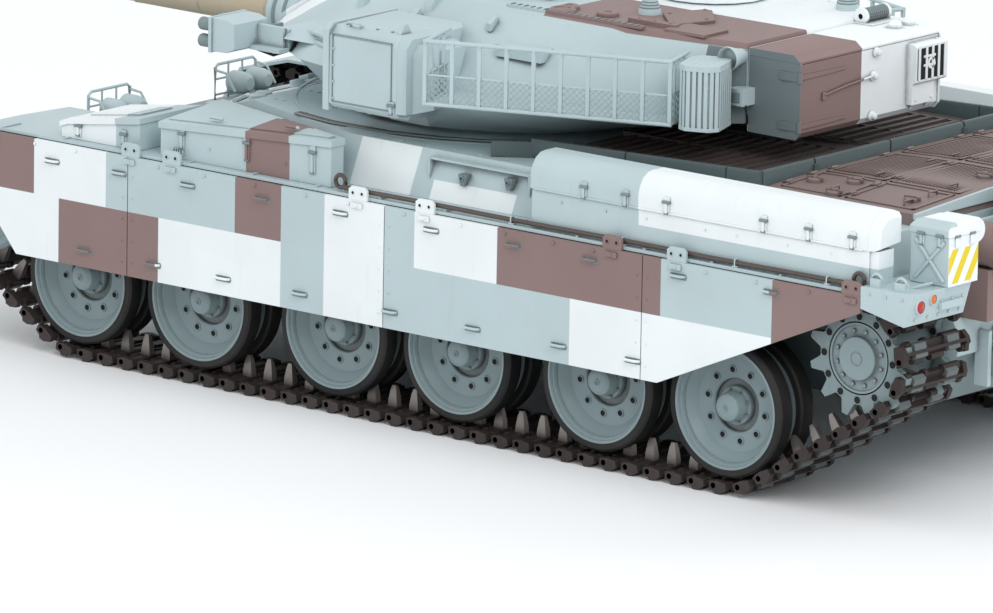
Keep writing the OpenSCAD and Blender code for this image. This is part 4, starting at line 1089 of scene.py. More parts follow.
def build_upper_hull():
    camo = hull_paint()
    dark = plain("dark_line", "grey_dark")
    s = Shape()
    g = GUARD_Z + 0.05
    # Side walls lean in towards the roof; the front plate slopes down to the nose.
    pts_low = [(66, -61.4), (66, -16), (66, -4), (94.7, 60), (94.7, 303)]
    tops = [(66, -61.4, g), (66, -16, g + 45.4 * 0.288), (66, -4, ROOF_Z), (87.5, 60, ROOF_Z),
            (87.5, 303, ROOF_Z)]
    ring_a = [(x, y, g) for x, y in pts_low] + [(-x, y, g) for x, y in reversed(pts_low)]
    ring_b = list(tops) + [(-x, y, z) for x, y, z in reversed(tops)]
    s.loft([ring_a, ring_b], caps=True)
    # Ring collar and its double edge strip.
    for r0, r1, z in ((56.2, 59, ROOF_Z + 0.5), (80.2, 81.4, ROOF_Z + 0.35)):
        prof = [(ROOF_Z - 0.3, r0), (z, r0), (z, r1), (ROOF_Z - 0.3, r1)]
        s.turned("z", (0, RING_Y, 0), prof, 96)
    # Lifting eyes and side plates.
    for y, z in ((117, 91), (138, 92.5)):
        s.prism("x", 90.4, 93.4, [(y - 1.9, z + 2.6), (y + 1.9, z + 2.6), (y + 0.9, z - 1.6),
                (y - 0.9, z - 1.6)], 1)
        s.turned("x", (93.2, y, z + 1.2), [(0, 1.0), (0.8, 0.95), (0.8, 0.5)], 12, 1)
    for y in (100, 146):
        s.prism("x", 88, 92.0, [(y, 84), (y + 0.9, 84), (y + 0.9, 97), (y, 97)])
    s.prism("x", 86, 91.6, [(100, 96.6), (147, 96.6), (147, 97.4), (100, 97.4)])
    for y in range(70, 155, 12):
        s.bolt("z", (84.5, y, ROOF_Z), 0.6, 0.4)
    both = [(x, y) for y in (-1, 3) for x in (20, 40, 60)]
    for x, y in both:
        s.bolt("z", (x, y + 2, ROOF_Z), 0.8, 0.5)
        s.bolt("z", (-x, y + 2, ROOF_Z), 0.8, 0.5)
    # Wiring loom laid on the roof beside the turret.
    for k in range(3):
        line = [(76 - k * 1.3, 24), (80 - k * 1.3, 44), (79.5 - k * 1.3, 70), (74 - k * 1.2, 90),
                (66 - k, 106), (55 - k, 118)]
        s.tube([(x, y, ROOF_Z + 0.5) for x, y in line], 0.5, 6, 2 if k else 1)
    # Raised rib across the front plate, splash board and filler caps.
    t = atan2(ROOF_Z - g, 57.4)
    for sg in (-1, 1):
        pts = [(sg * 6, -58, g + 3.4 * tan(t)), (sg * 58, -20, g + 41.4 * tan(t))]
        s.tube([(p[0], p[1], p[2] + 0.6) for p in pts], 1.0, 6)
        for x, y in ((30, -30), (46, -40), (52, -14)):
            z = g + (y + 61.4) * tan(t)
            s.turned("z", (sg * x, y, z), [(-0.6, 3.4), (1.2, 3.2), (1.5, 2.8), (1.5, 0.01)], 20)
    piece("upper_hull_look", s, [camo, dark, plain("cable_wire", "wire")], "hull", ["upper_hull"],
            0.3)


def build_lower_hull():
    grey = plain("lower_hull_finish", "grey_dark")
    camo = hull_paint()
    s = Shape()
    t = GUARD_Z - 0.05
    s.prism("x", -62, 62, [(-94, 32), (296, 32), (309, 52), (309, t), (-61.4, t), (-122, 66), (-122, 61)])
    for sg in (-1, 1):
        for a, b, c, r in ((61, 68.5, (SPROCKET[0], SPROCKET[1]), 13), (61, 70, (IDLER[0], IDLER[1]), 9)):
            s.turned("x", (0, c[0], c[1]), [(sg * a, r), (sg * (b - 0.8), r), (sg * b, r - 0.8),
                    (sg * b, 4.5),
                                            (sg * 98, 4.5), (sg * 98, 0.01)], 40)
            for k in range(10):
                q = radians(36 * k)
                s.bolt("x", (sg * b, c[0] + (r - 2) * cos(q), c[1] + (r - 2) * sin(q)), 0.7, 0.6, sign=sg)
        for i in (1, 2):
            y = BOGIE_MID + (i * 2 - 3) * BOGIE_PITCH / 2
            s.turned("x", (0, y, 65.6), [(sg * 61, 5), (sg * 66, 4), (sg * 66, 2.5), (sg * 94, 2.5),
                    (sg * 94, 0.01)], 24)
        for y in range(-80, 300, 38):
            s.box(sg * 62 - 0.6, sg * 62 + 0.6, y, y + 1.6, 60, 81)
    for y in (-60, 20, 170, 240, 280):
        s.box(-50, 50, y, y + 1.2, 31.4 + 0.5, 32.6)
    for x in (-40, -14, 14, 40):
        s.bolt("z", (x, -80, 32.1), 1.4, 0.9, sign=-1)
        s.bolt("z", (x, 270, 32.1), 1.4, 0.9, sign=-1)
    # Towing eyes and spare bolts on the nose.
    for sg in (-1, 1):
        for x in (34, 40):
            s.prism("x", sg * x - 1.2, sg * x + 1.2, [(-119, 50), (-127.5, 54), (-128, 61), (-122, 65),
                    (-116, 60)])
        s.rod("x", sg * 37 - 5, sg * 37 + 5, (0, -124.6, 58), 1.4, 14)
    piece("lower_hull_look", s, [grey, camo], "hull", ["lower_hull"], 0.5)


def build_deck():
    # The darker brown block over the deck from y 130 to the rail is painted shade under the turret's
    # overhanging rear.
    brown = paint("deck_finish", DECK_BROWN, [((0.085, 0.066, 0.063), (-73, 73, 130, 236.5, 90, 120))],
                  chips=0.5, grime=0.9)
    dark = plain("deck_slots", "hole")
    edge = plain("deck_edge", "grey")
    s = Shape()
    base = ROOF_Z + 0.1

    def crown(x, y):
        """Height of the deck: level in front, raised along the middle at the rear."""
        rise = 102.6 + (y - 136) * 0.02 if y < 236 else 104.6 + (y - 236) * 0.024
        side = max(0.0, abs(x) - 30) / 45.0
        return min(rise + 1.8 * (1 - side) * max(0.0, min(1.0, (y - 220) / 60)), 106.4 - 3.2 * side * 0.9)

    # The deck as a fine grid so that its crown reads as a curved sheet.
    xs = [-72, -60, -45, -30, -15, 0, 15, 30, 45, 60, 72]
    rings = []
    for y in (142, 160, 185, 210, 232.8, 237.4, 255, 270, 285, 302):
        top = [(x, y, crown(x, y)) for x in xs]
        rings.append([(-72, y, base)] + top + [(72, y, base)])
    s.loft(rings)
    s.loft([[(-66, 135, base), (66, 135, base), (66, 135, base + 0.3), (-66, 135, base + 0.3)],
            [(-72, 142, base), (72, 142, base), (72, 142, 102.5), (-72, 142, 102.5)]])
    # Engine panels with raised frames and rows of slats; the gaps between slats are flat near-black strips,
    # painted shade.
    for sg in (-1, 1):
        for y in range(146, 226, 6):
            z = crown(30, y)
            s.prism("x", *sorted((sg * 8, sg * 62)), [(y, z - 0.2), (y + 3.6, z - 0.2), (y + 3.6, z + 1.1),
                    (y + 0.6, z + 0.7)])
            s.prism("x", *sorted((sg * 8, sg * 62)), [(y + 3.7, z - 0.1), (y + 5.8, z - 0.1),
                    (y + 5.8, z + 0.03), (y + 3.7, z + 0.03)], 1)
        for x in (6, 34, 63):
            s.prism("y", 143, 229, [(sg * x - 0.8, 102.6), (sg * x + 0.8, 102.6), (sg * x + 0.8, 104.6),
                    (sg * x - 0.8, 104.6)])
    # Gearbox panels behind the rail: frames, fine slats, hinges and lifting handles.
    for x0, x1 in ((-68, -44), (-42, -2), (2, 42), (44, 68)):
        for y0, y1 in ((240, 266), (268, 298)):
            def zat(x, y):
                return crown(x, y) + 0.1
            for a, b, c, d in ((x0, x1, y0, y0 + 1.2), (x0, x1, y1 - 1.2, y1), (x0, x0 + 1.2, y0, y1),
                    (x1 - 1.2, x1, y0, y1)):
                s.loft([[(a, c, zat(a, c) - 0.6), (b, c, zat(b, c) - 0.6), (b, c, zat(b, c) + 0.35),
                        (a, c, zat(a, c) + 0.35)],
                        [(a, d, zat(a, d) - 0.6), (b, d, zat(b, d) - 0.6), (b, d, zat(b, d) + 0.35),
                                (a, d, zat(a, d) + 0.35)]])
            if abs(x0 + x1) < 60:
                y = y0 + 3
                while y < y1 - 3:
                    a, b = x0 + 3, x1 - 3
                    s.loft([[(a, y, zat(a, y) - 0.4), (b, y, zat(b, y) - 0.4), (b, y, zat(b, y) + 0.3),
                            (a, y, zat(a, y) + 0.3)],
                            [(a, y + 0.55, zat(a, y) - 0.4), (b, y + 0.55, zat(b, y) - 0.4),
                                    (b, y + 0.55, zat(b, y) + 0.3),
                             (a, y + 0.55, zat(a, y) + 0.3)]])
                    y += 1.5
            for x in (x0 + 5, x1 - 5):
                z = zat(x, y0)
                s.rod("x", x - 1.8, x + 1.8, (0, y0 - 0.2, z + 0.6), 0.6, 10)
                s.box(x - 1.3, x + 1.3, y0 - 2.2, y0 + 1.6, z - 0.2, z + 0.5)
                handle = [(x - 2.4, y1 - 6, z), (x - 2.4, y1 - 6, z + 1.5), (x + 2.4, y1 - 6, z + 1.5),
                        (x + 2.4, y1 - 6, z)]
                s.tube(handle, 0.42, 6)
    for x, y in ((56, 246), (50, 259), (-56, 246), (-30, 285), (58, 290), (-58, 280), (16, 290), (66, 262)):
        z = crown(x, y)
        s.turned("z", (x, y, z), [(-0.5, 3.0), (0.9, 2.8), (1.3, 2.2), (1.3, 1.2), (2.0, 1.1), (2.1, 0.01)],
                18)
        s.box(x - 0.5, x + 0.5, y - 3.4, y + 3.4, z + 0.8, z + 1.7)
    # Light edge strip along the rear of the deck.
    s.loft([[(x, 301.6, crown(x, 301) + dz) for x, dz in ((-73, -1.6), (73, -1.6), (73, 0.3), (30, 0.2),
            (-30, 0.2), (-73, 0.3))],
            [(x, 302.9, crown(x, 301) + dz) for x, dz in ((-73, -1.6), (73, -1.6), (73, 0.3), (30, 0.2),
                    (-30, 0.2), (-73, 0.3))]], 2)
    piece("deck_look", s, [brown, dark, edge], "hull", ["engine_deck"], 0.18)


def build_rail():
    rail = plain("rail_finish", "rail")
    s = Shape()
    for sg in (-1, 1):
        for y0, y1 in ((133.4, 176), (176.5, 221), (221.5, 235.9)):
            z0, z1 = 106.3 + (y0 - 133) * 0.0315, 106.3 + (y1 - 133) * 0.0315
            ring = []
            for y, z in ((y0, z0), (y1, z1)):
                ring.append([(sg * 73.1, y, 100), (sg * 75.3, y, 100), (sg * 75.3, y, z - 0.9),
                        (sg * 74.9, y, z),
                             (sg * 73.5, y, z), (sg * 73.1, y, z - 0.9)])
            s.loft(ring)
        a, b = Vector((sg * 73.6, 134.4, 0)), Vector((sg * 83.4, 121.9, 0))
        n = Vector((b - a).normalized().yxz)
        n = Vector((n.x, -n.y, 0)) * 1.1
        ring = []
        for p in (a, b):
            ring.append([(p.x - n.x, p.y - n.y, 99.6), (p.x + n.x, p.y + n.y, 99.6),
                    (p.x + n.x, p.y + n.y, 105.2),
                         (p.x - n.x, p.y - n.y, 105.2)])
        s.loft(ring)
        for y in (150, 168, 190, 210):
            s.bolt("x", (sg * 75.2, y, 103.6), 0.6, 0.4, sign=sg)
    spans = ((-73.0, -44.5), (-43.6, -1), (-0.2, 43), (44, 73.0))
    for x0, x1 in spans:
        s.loft([[(x, 234.0, 101), (x, 236.2, 101), (x, 236.2, 108.8), (x, 235.7, 109.5), (x, 234.5, 109.5),
                (x, 234.0, 108.8)]
                for x in (x0, x1)])
    for x in (-44, 43.5):
        s.box(x - 1.1, x + 1.1, 233.8, 237, 101, 107.6)
    piece("rail_look", s, [rail], "hull", ["deck_rail"], 0.2)


def build_rear():
    grey = plain("rear_finish", "grey")
    dark = plain("rear_dark", "grey_dark")
    brown = plain("rear_brown", "brown")
    s = Shape()
    # Upright rear plate with bolted frames.
    s.box(-61, 61, 308.6, 310.4, 52, 99, 0)
    s.box(-36, 36, 310, 331, 84.4, 107.6, 1)
    s.box(-37, 37, 310, 331.8, 102.6, 104.2, 0)
    for x in (-24, 0, 24):
        s.box(x - 5, x + 5, 330.6, 331.9, 88, 100, 0)
        for dx in (-4, 4):
            for z in (89.5, 98.5):
                s.bolt("y", (x + dx, 331.8, z), 0.6, 0.5)
    for sg in (-1, 1):
        cx = sg * 50
        prof = [(310, 6), (316, 8), (334.5, 8), (336.2, 7.4), (337.4, 6.2), (337.4, 3.6), (336.2, 3.0),
                (335.6, 0.01)]
        s.turned("y", (cx, 0, 92), prof, 40, 2)
        s.turned("y", (cx, 0, 92), [(326, 7.9), (326, 8.35), (328, 8.35), (328, 7.9)], 40, 2)
        s.box(cx - 6, cx + 6, 310, 322, 66, 84.5, 2)
        for x in (36, 44):
            s.box(sg * x - 1, sg * x + 1, 309, 315, 40, 60, 0)
        s.turned("x", (0, 318.5, 48), [(sg * 38, 2.4), (sg * 38, 6.2), (sg * 42, 6.2), (sg * 42, 2.4)], 28,
                0)
        hook = [(sg * 40, 312, 54), (sg * 40, 319, 55), (sg * 40, 323, 51), (sg * 40, 322.6, 46),
                (sg * 40, 318, 43.6)]
        s.tube(hook, 1.6, 10, 0)
    s.box(-20, 20, 310, 321.6, 50, 80, 2)
    s.turned("y", (0, 0, 64), [(321, 9), (323, 8.6), (323.6, 7.6), (323.6, 0.01)], 32, 2)
    for k in range(8):
        a = radians(45 * k)
        s.bolt("y", (7.8 * cos(a), 323.2, 64 + 7.8 * sin(a)), 0.7, 0.6, mat=2)
    piece("rear_look", s, [grey, dark, brown], "hull", ["rear_fittings"], 0.3)
    # Corner lockers with stiffeners, latches and the slanted warning bands.
    c = Shape()
    c.box(74.3, 91.0, 314.2, 331, 85.3, 103.2)
    c.loft([[(73.9, 313.8, 102.6), (91.4, 313.8, 102.6), (91.4, 331.4, 102.6), (73.9, 331.4, 102.6)],
            [(73.9, 313.8, 105.0), (91.4, 313.8, 105.0), (91.4, 331.4, 105.0), (73.9, 331.4, 105.0)],
            [(75.6, 315.4, 107.2), (89.6, 315.4, 107.2), (89.6, 329.8, 107.2), (75.6, 329.8, 107.2)]])
    cover = [(315.2, 4.0), (316.2, 4.6), (329.0, 4.6), (330.2, 4.0), (330.2, 0.01)]
    c.turned("y", (73.6, 0, 102.6), [(315.2, 0.01)] + cover, 28)
    for a, b in (((316.5, 87), (329, 101)), ((316.5, 101), (329, 87))):
        d = Vector((0, b[0] - a[0], b[1] - a[1])).normalized()
        n = Vector((0, -d.z, d.y)) * 0.8
        c.loft([[(90.9, p[0] - n.y, p[1] - n.z), (91.9, p[0] - n.y * 0.6, p[1] - n.z * 0.6),
                 (91.9, p[0] + n.y * 0.6, p[1] + n.z * 0.6), (90.9, p[0] + n.y, p[1] + n.z)] for p in (a,
                         b)])
    for y in (319, 327):
        latch(c, 91.0, y, 98.6, 0, 6)
    for x in (78.5, 87):
        c.box(x - 1.1, x + 1.1, 330.9, 331.6, 98.8, 104.6)
        c.rod("x", x - 1.5, x + 1.5, (0, 331.5, 102.8), 0.5, 10, 1)
    c.both()
    piece("corner_lockers_look", c, [stripe_paint(), dark], "hull", (), 0.35)
    # Lamps, reflectors and shackle brackets on the tail of the guards.
    t = Shape()
    t.turned("y", (103.5, 0, 80.2), [(326.5, 2.6), (328.6, 2.6), (328.8, 2.2)], 24, 0)
    t.turned("y", (103.5, 0, 80.2), [(328.5, 2.25), (329.0, 1.6), (329.15, 0.01)], 24, 1)
    t.turned("y", (96.5, 0, 82), [(327.0, 1.9), (328.9, 1.9), (329.0, 1.6)], 20, 0)
    t.turned("y", (96.5, 0, 82), [(328.8, 1.65), (329.15, 1.0), (329.2, 0.01)], 20, 2)
    t.box(80, 92, 327.6, 329.1, 77.4, 80, 0)
    for y in (309.5, 320):
        t.box(104.6, 107.4, y, y + 4.2, 85.0, 88.2, 0)
        ring = [(106.0, y + 2.1 + 2.0 * cos(a),
                87.6 + 2.0 * sin(a)) for a in [2 * pi * i / 20 for i in range(20)]]
        t.tube(ring, 0.6, 8, 0, closed=True)
    t.tube([(100, 322, 85.2), (98, 325, 86.6), (94, 326, 86.8), (90, 324, 85.6)], 0.5, 6, 0)
    t.both()
    piece("tail_lamps_look", t, [grey, plain("red_lens", "red"), plain("amber_lens", "amber")], "hull", (),
            0.15)


def build_front():
    grey = plain("lamp_finish", "grey")
    lens = plain("lamp_lens", "lens")
    s = Shape()
    for x, r in ((30.6, 4.2), (41.2, 4.2)):
        s.turned("y", (x, 0, 79), [(-88, 0.01), (-88.2, 2.4), (-89.6, 3.6), (-92, r), (-97, r),
                (-97.6, r - 0.5), (-97.0, r - 0.9)], 32)
        s.turned("y", (x, 0, 79), [(-96.8, 3.35), (-97.3, 2.4), (-97.5, 0.01)], 32, 1)
        s.box(x - 1.4, x + 1.4, -94, -91, 70.6, 76)
    s.box(26, 46, -98, -91, 70.8, 72.4)
    loops = [(24.4, -100.6, 68.6), (24.4, -100.6, 84.4), (26, -100.6, 85.6), (46, -100.6, 85.6),
            (47.6, -100.6, 84.4),
             (47.6, -100.6, 68.6)]
    s.tube(loops, 0.6, 8)
    for x in (32, 40):
        s.tube([(x, -100.6, 68.8), (x, -100.6, 85.6)], 0.45, 6)
    for z in (74, 80):
        s.tube([(24.4, -100.6, z), (47.6, -100.6, z)], 0.45, 6)
    for x in (24.4, 47.6):
        s.tube([(x, -100.6, 83.6), (x, -95, 83), (x, -90.5, 76.5)], 0.55, 6)
    s.both()
    piece("lamps_look", s, [grey, lens], "hull", ["front_lamps"], 0.15)
    h = Shape()
    t = atan2(ROOF_Z - GUARD_Z - 0.05, 57.4)
    hy, hz = -26.0, GUARD_Z + 0.05 + 35.4 * tan(t)
    m = Matrix.Translation((0, hy, hz)) @ Matrix.Rotation(t, 4, "X")
    d = Shape()
    d.turned("z", (0, 0, 0), [(0.5, 0.01), (0.5, 10.6), (0.9, 11), (1.8, 11), (2.3, 10.4), (2.4, 7.8),
            (2.15, 7.4), (2.15, 2.6),
                              (2.4, 2.4), (2.4, 0.01)], 48)
    d.box(0, 15, -2.4, 2.4, 0.6, 2.0)
    d.turned("z", (15, 0, 0), [(0.5, 0.01), (0.5, 2.8), (3.0, 2.8), (3.4, 2.3), (3.4, 0.01)], 24)
    d.box(-4, 4, -8.5, -4, 2.2, 4.2)
    d.box(-3.2, 3.2, -8.7, -8.3, 2.7, 3.8, 1)
    for k in range(6):
        a = radians(60 * k + 20)
        d.bolt("z", (9.2 * cos(a), 9.2 * sin(a), 2.35), 0.5, 0.4)
    h.moved(m, d)
    piece("driver_hatch_look", h, [grey, lens], "driver_door", ["driver_hatch"], 0.2)


# ---- turret


def slice_ring(z, half):
    """Closed ring from a half outline of (y, x)."""
    right = [(x, y, z) for y, x in half]
    left = [(-x, y, z) for y, x in reversed(half)]
    return right + left


SLICE_LOW = [(RING_Y + 66 * sin(radians(a)), 66 * cos(radians(a))) for a in (-80, -60, -40, -15, 10, 35, 60,
        80)]
SLICE_MID = [(-34, 19), (-14, 44), (16, 64), (56, 74), (106, 75), (150, 67), (188, 54), (203, 42)]
SLICE_TOP = [(10, 17), (24, 28), (42, 39), (74, 47), (116, 47), (148, 47), (185, 43.5), (203, 41)]


def blend_slice(a, b, t, puff=0.0):
    out = []
    for (ya, xa), (yb, xb) in zip(a, b):
        out.append((ya + (yb - ya) * t, (xa + (xb - xa) * t) * (1 + puff)))
    return out


def build_turret_shell():
    camo = turret_paint()
    dark = plain("turret_dark", "grey_dark")
    s = Shape()
    rings = [slice_ring(101.1, blend_slice(SLICE_LOW, SLICE_MID, 0.0))]
    rings.append(slice_ring(109.5, blend_slice(SLICE_LOW, SLICE_MID, 0.5)))
    rings.append(slice_ring(GUN_Z - 0.6, SLICE_MID))
    for t in (0.12, 0.35, 0.62, 0.85, 0.96):
        rings.append(slice_ring(GUN_Z + (TURRET_Z - GUN_Z) * t,
                blend_slice(SLICE_MID, SLICE_TOP, t, 0.012 * sin(pi * t))))
    top = blend_slice(SLICE_MID, SLICE_TOP, 1.0)
    rings.append(slice_ring(TURRET_Z, [(y + (0.6 if y < 100 else -0.4), x - 0.6) for y, x in top]))
    s.loft(rings)
    shell = s.mesh("turret_body")
    finish_mesh(shell, 30)
    for x, y0, y1, z0, z1 in ((14.4, -44, TRUNNION_Y, GUN_Z - 18, GUN_Z + 19),
            (13, TRUNNION_Y - 1, 30, GUN_Z - 14, GUN_Z + 12)):
        c = Shape()
        c.box(-x, x, y0, y1, z0, z1)
        shell = carve(shell, c)
    if not shell.polygons:
        raise RuntimeError("the gun's opening left nothing of the turret")
    s = Shape()
    s.take(shell)
    s.turned("z", (0, RING_Y, 0), [(102, 46), (94, 50), (94, 55.5), (102, 55.5)], 96)
    # Raised cast lip on each side of the gun's opening.
    for sg in (-1, 1):
        s.loft([[(sg * 14.6, y, z0), (sg * (14.6 + t), y, z0), (sg * (14.6 + t), y, z1), (sg * 14.6, y, z1)]
                for y, t, z0, z1 in ((-33.8, 3.0, 114.6, 120.0), (-27, 3.6, 111.6, 124.4),
                        (-18, 3.2, 108.0, 129.4),
                                     (-6, 2.2, 118, 136.8))])
    # Roof strips, plates, vents and the wall's lifting lugs.
    for x in (45.6, -45.6):
        s.box(x - 1.2, x + 1.2, 98, 160, TURRET_Z - 0.3, TURRET_Z + 0.9)
    for y in range(100, 160, 3):
        s.box(44.6, 46.8, y, y + 0.9, TURRET_Z + 0.8, TURRET_Z + 1.25, 1)
    s.prism("z", TURRET_Z - 0.2, TURRET_Z + 1.2, [(38, 166), (20, 172), (4, 158), (22, 150)])
    for x, y in ((35, 165), (21, 169), (8, 158), (22, 153)):
        s.bolt("z", (x, y, TURRET_Z + 1.1), 0.7, 0.5)
    s.box(30, 44, 168, 186, TURRET_Z - 0.2, TURRET_Z + 1.0)
    for y in (118, 136):
        s.turned("z", (36, y, TURRET_Z), [(-0.3, 4.2), (1.2, 4.0), (1.6, 3.4), (1.6, 1.6), (1.2, 1.4),
                (1.2, 0.01)], 24)
    for x, y in ((30, 60), (-30, 60), (-36, 100)):
        s.box(x - 5, x + 5, y - 4, y + 4, TURRET_Z - 0.3, TURRET_Z + 2.2)
        s.box(x - 4.4, x + 4.4, y - 4.3, y - 3.9, TURRET_Z + 0.4, TURRET_Z + 1.8, 1)
    for y, z, x in ((98, 140.5, 55), (64, 139, 57)):
        s.prism("y", y - 1.1, y + 1.1, [(x - 4, z - 1), (x + 1.5, z - 3), (x + 1.8, z), (x - 2, z + 2.4)])
    for y in range(96, 190, 8):
        s.bolt("z", (41.5, y, TURRET_Z - 0.1), 0.5, 0.4)
        s.bolt("z", (-41.5, y, TURRET_Z - 0.1), 0.5, 0.4)
    s.box(53.5, 64, 107, 128, 131, 135.5)
    piece("turret_look", s, [camo, dark], "turret", ["turret_shell"], 0.5, 30)


def build_searchlight():
    camo = turret_paint()
    dark = plain("turret_dark", "grey_dark")
    lens = plain("lamp_lens", "lens")
    s = Shape()
    outline = [(70, 109), (92.6, 109.4), (94, 111), (94, 135.4), (90.4, 139.2), (58, 139.6)]
    s.prism("y", 55, 86.6, outline)
    s.prism("y", 52.4, 55.2, [(56, 108.2), (94.2, 108.2), (94.5, 137.6), (91.6, 139.9), (56, 139.9)])
    rear = [(74, 110.4), (88, 110.4), (88, 132.4), (85, 135.6), (66, 135.6)]
    s.loft([[(x, 86.4, z) for x,
            z in outline[:1] + outline[2:3] + outline[3:4] + outline[4:5] + outline[5:6]],
            [(x, 89.0, z) for x, z in ((71, 110), (91.5, 110.6), (91.5, 134.4), (88.4, 137.6),
                    (60, 138.4))]])
    s.loft([[(x, 88.9, z) for x, z in rear],
            [(x + (-4 if x > 80 else 0), 95.8, z + (2 if z < 115 else -2)) for x, z in rear]])
    s.prism("x", 64, 84, [(58, 106.9), (84, 106.9), (86, 110), (56, 110)])
    # Flange edge, lid, latch, handle and lifting eye.
    for y0, y1, z0, z1 in ((56.6, 84.4, 111.6, 112.0), (56.6, 84.4, 136.2, 136.6),
            (56.6, 57.0, 111.6, 136.6),
                           (84.0, 84.4, 111.6, 136.6)):
        s.box(93.9, 94.3, y0, y1, z0, z1, 1)
    latch(s, 94.0, 84.6, 110.4, 0, 5)
    s.tube([(90, 62, 139.2), (91.6, 62, 141.0), (91.6, 67, 141.0), (90, 67, 139.2)], 0.55, 8)
    s.prism("y", 83.2, 85.0, [(84, 139.2), (90, 139.2), (88, 142.6), (86, 142.6)])
    for y in (59, 66, 73, 80):
        s.bolt("z", (88.6, y, 139.5), 0.6, 0.4)
    for z in (113, 119, 125, 131):
        s.bolt("x", (94.0, 57.2, z), 0.5, 0.4)
    s.box(70, 88, 51.8, 52.6, 112, 134, 2)
    for z in (116, 121, 126, 131):
        s.box(69, 89, 51.2, 51.9, z, z + 0.8)
    # Two parallel conduits run from the turret's front into the housing.
    for dz in (0, 3.4):
        s.tube([(52, 8, 122 + dz), (60, 22, 123 + dz), (66, 38, 122.6 + dz), (74, 52.6, 121 + dz)], 1.1, 10)
    piece("searchlight_look", s, [camo, dark, lens], "turret", ["searchlight_box"],
            0.4)


def mesh_panel(s, lo, hi, z0, z1, pitch, put, mat=1):
    """Diamond mesh between lo and hi; put turns a length along the panel into a point."""
    run = z1 - z0
    y = lo - run
    while y < hi:
        for a, b in (((y, z0), (y + run, z1)), ((y, z1), (y + run, z0))):
            p, q = Vector(a), Vector(b)
            if q.x > lo and p.x < hi:
                d = q - p
                if p.x < lo:
                    p = p + d * ((lo - p.x) / d.x)
                if q.x > hi:
                    q = p + d * ((hi - p.x) / d.x)
                if (q - p).length > 0.3:
                    s.tube([put(p.x, p.y), put(q.x, q.y)], 0.2, 4, mat)
        y += pitch


def build_baskets():
    """Bar baskets with a diamond mesh on the lower half of the sides."""
    bars = plain("basket_finish", "grey")
    wires = plain("basket_mesh", "wire_grey")
    length = 93.0
    pitch = bpy.context.scene.tank_sizes.mesh / MM
    rise = 5.6
    for side in (1, -1):
        s = Shape()
        for z in (112.7, 135.3):
            s.tube([(-0.8, 0, z), (-0.8, length, z)], 0.78, 10)
        s.box(-1.3, -0.6, 0, length, 122.9, 123.5)
        for k in range(10):
            y = 0.75 + k * (length - 1.5) / 9
            s.box(-1.35, -0.15, y - 0.72, y + 0.72, 112.6, 135.4)
            for z in (113.6, 134.2):
                s.bolt("x", (-0.2, y, z), 0.4, 0.18)
        for y, deep in ((0.75, 27), (length - 0.75, 21)):
            for z in (112.7, 135.3):
                s.tube([(-0.8, y, z), (-deep, y, z)], 0.74, 10)
            s.box(-deep, -0.8, y - 0.3, y + 0.3, 122.9, 123.5)
            for f in (0.25, 0.5, 0.75):
                s.box(-deep * f - 0.62, -deep * f + 0.62, y - 0.6, y + 0.6, 112.6, 135.4)
        s.box(-24, -0.5, 0.5, length - 0.5, 112.2, 112.9)
        for k in range(1, 9):
            y = 0.75 + k * (length - 1.5) / 9
            s.box(-24, -1, y - 0.5, y + 0.5, 112.0, 112.4)
        mesh_panel(s, 1.4, length - 1.4, 113.2, 122.9, pitch, lambda u, v: (-0.95, u, v))
        mesh_panel(s, 1.2, 26.0, 113.2, 122.9, pitch, lambda u, v: (-u, 0.75, v))
        mesh_panel(s, 1.2, 20.0, 113.2, 122.9, pitch, lambda u, v: (-u, length - 0.75, v))
        m = Matrix.Translation((100, 103.4, rise)) @ Matrix.Rotation(radians(20), 4, "Z")
        out = Shape()
        out.moved(m, s)
        if side < 0:
            out = out.mirrored()
        piece("basket_%s_look" % ("left" if side > 0 else "right"), out, [bars, wires], "turret",
              ["stowage_baskets"], 0.12)


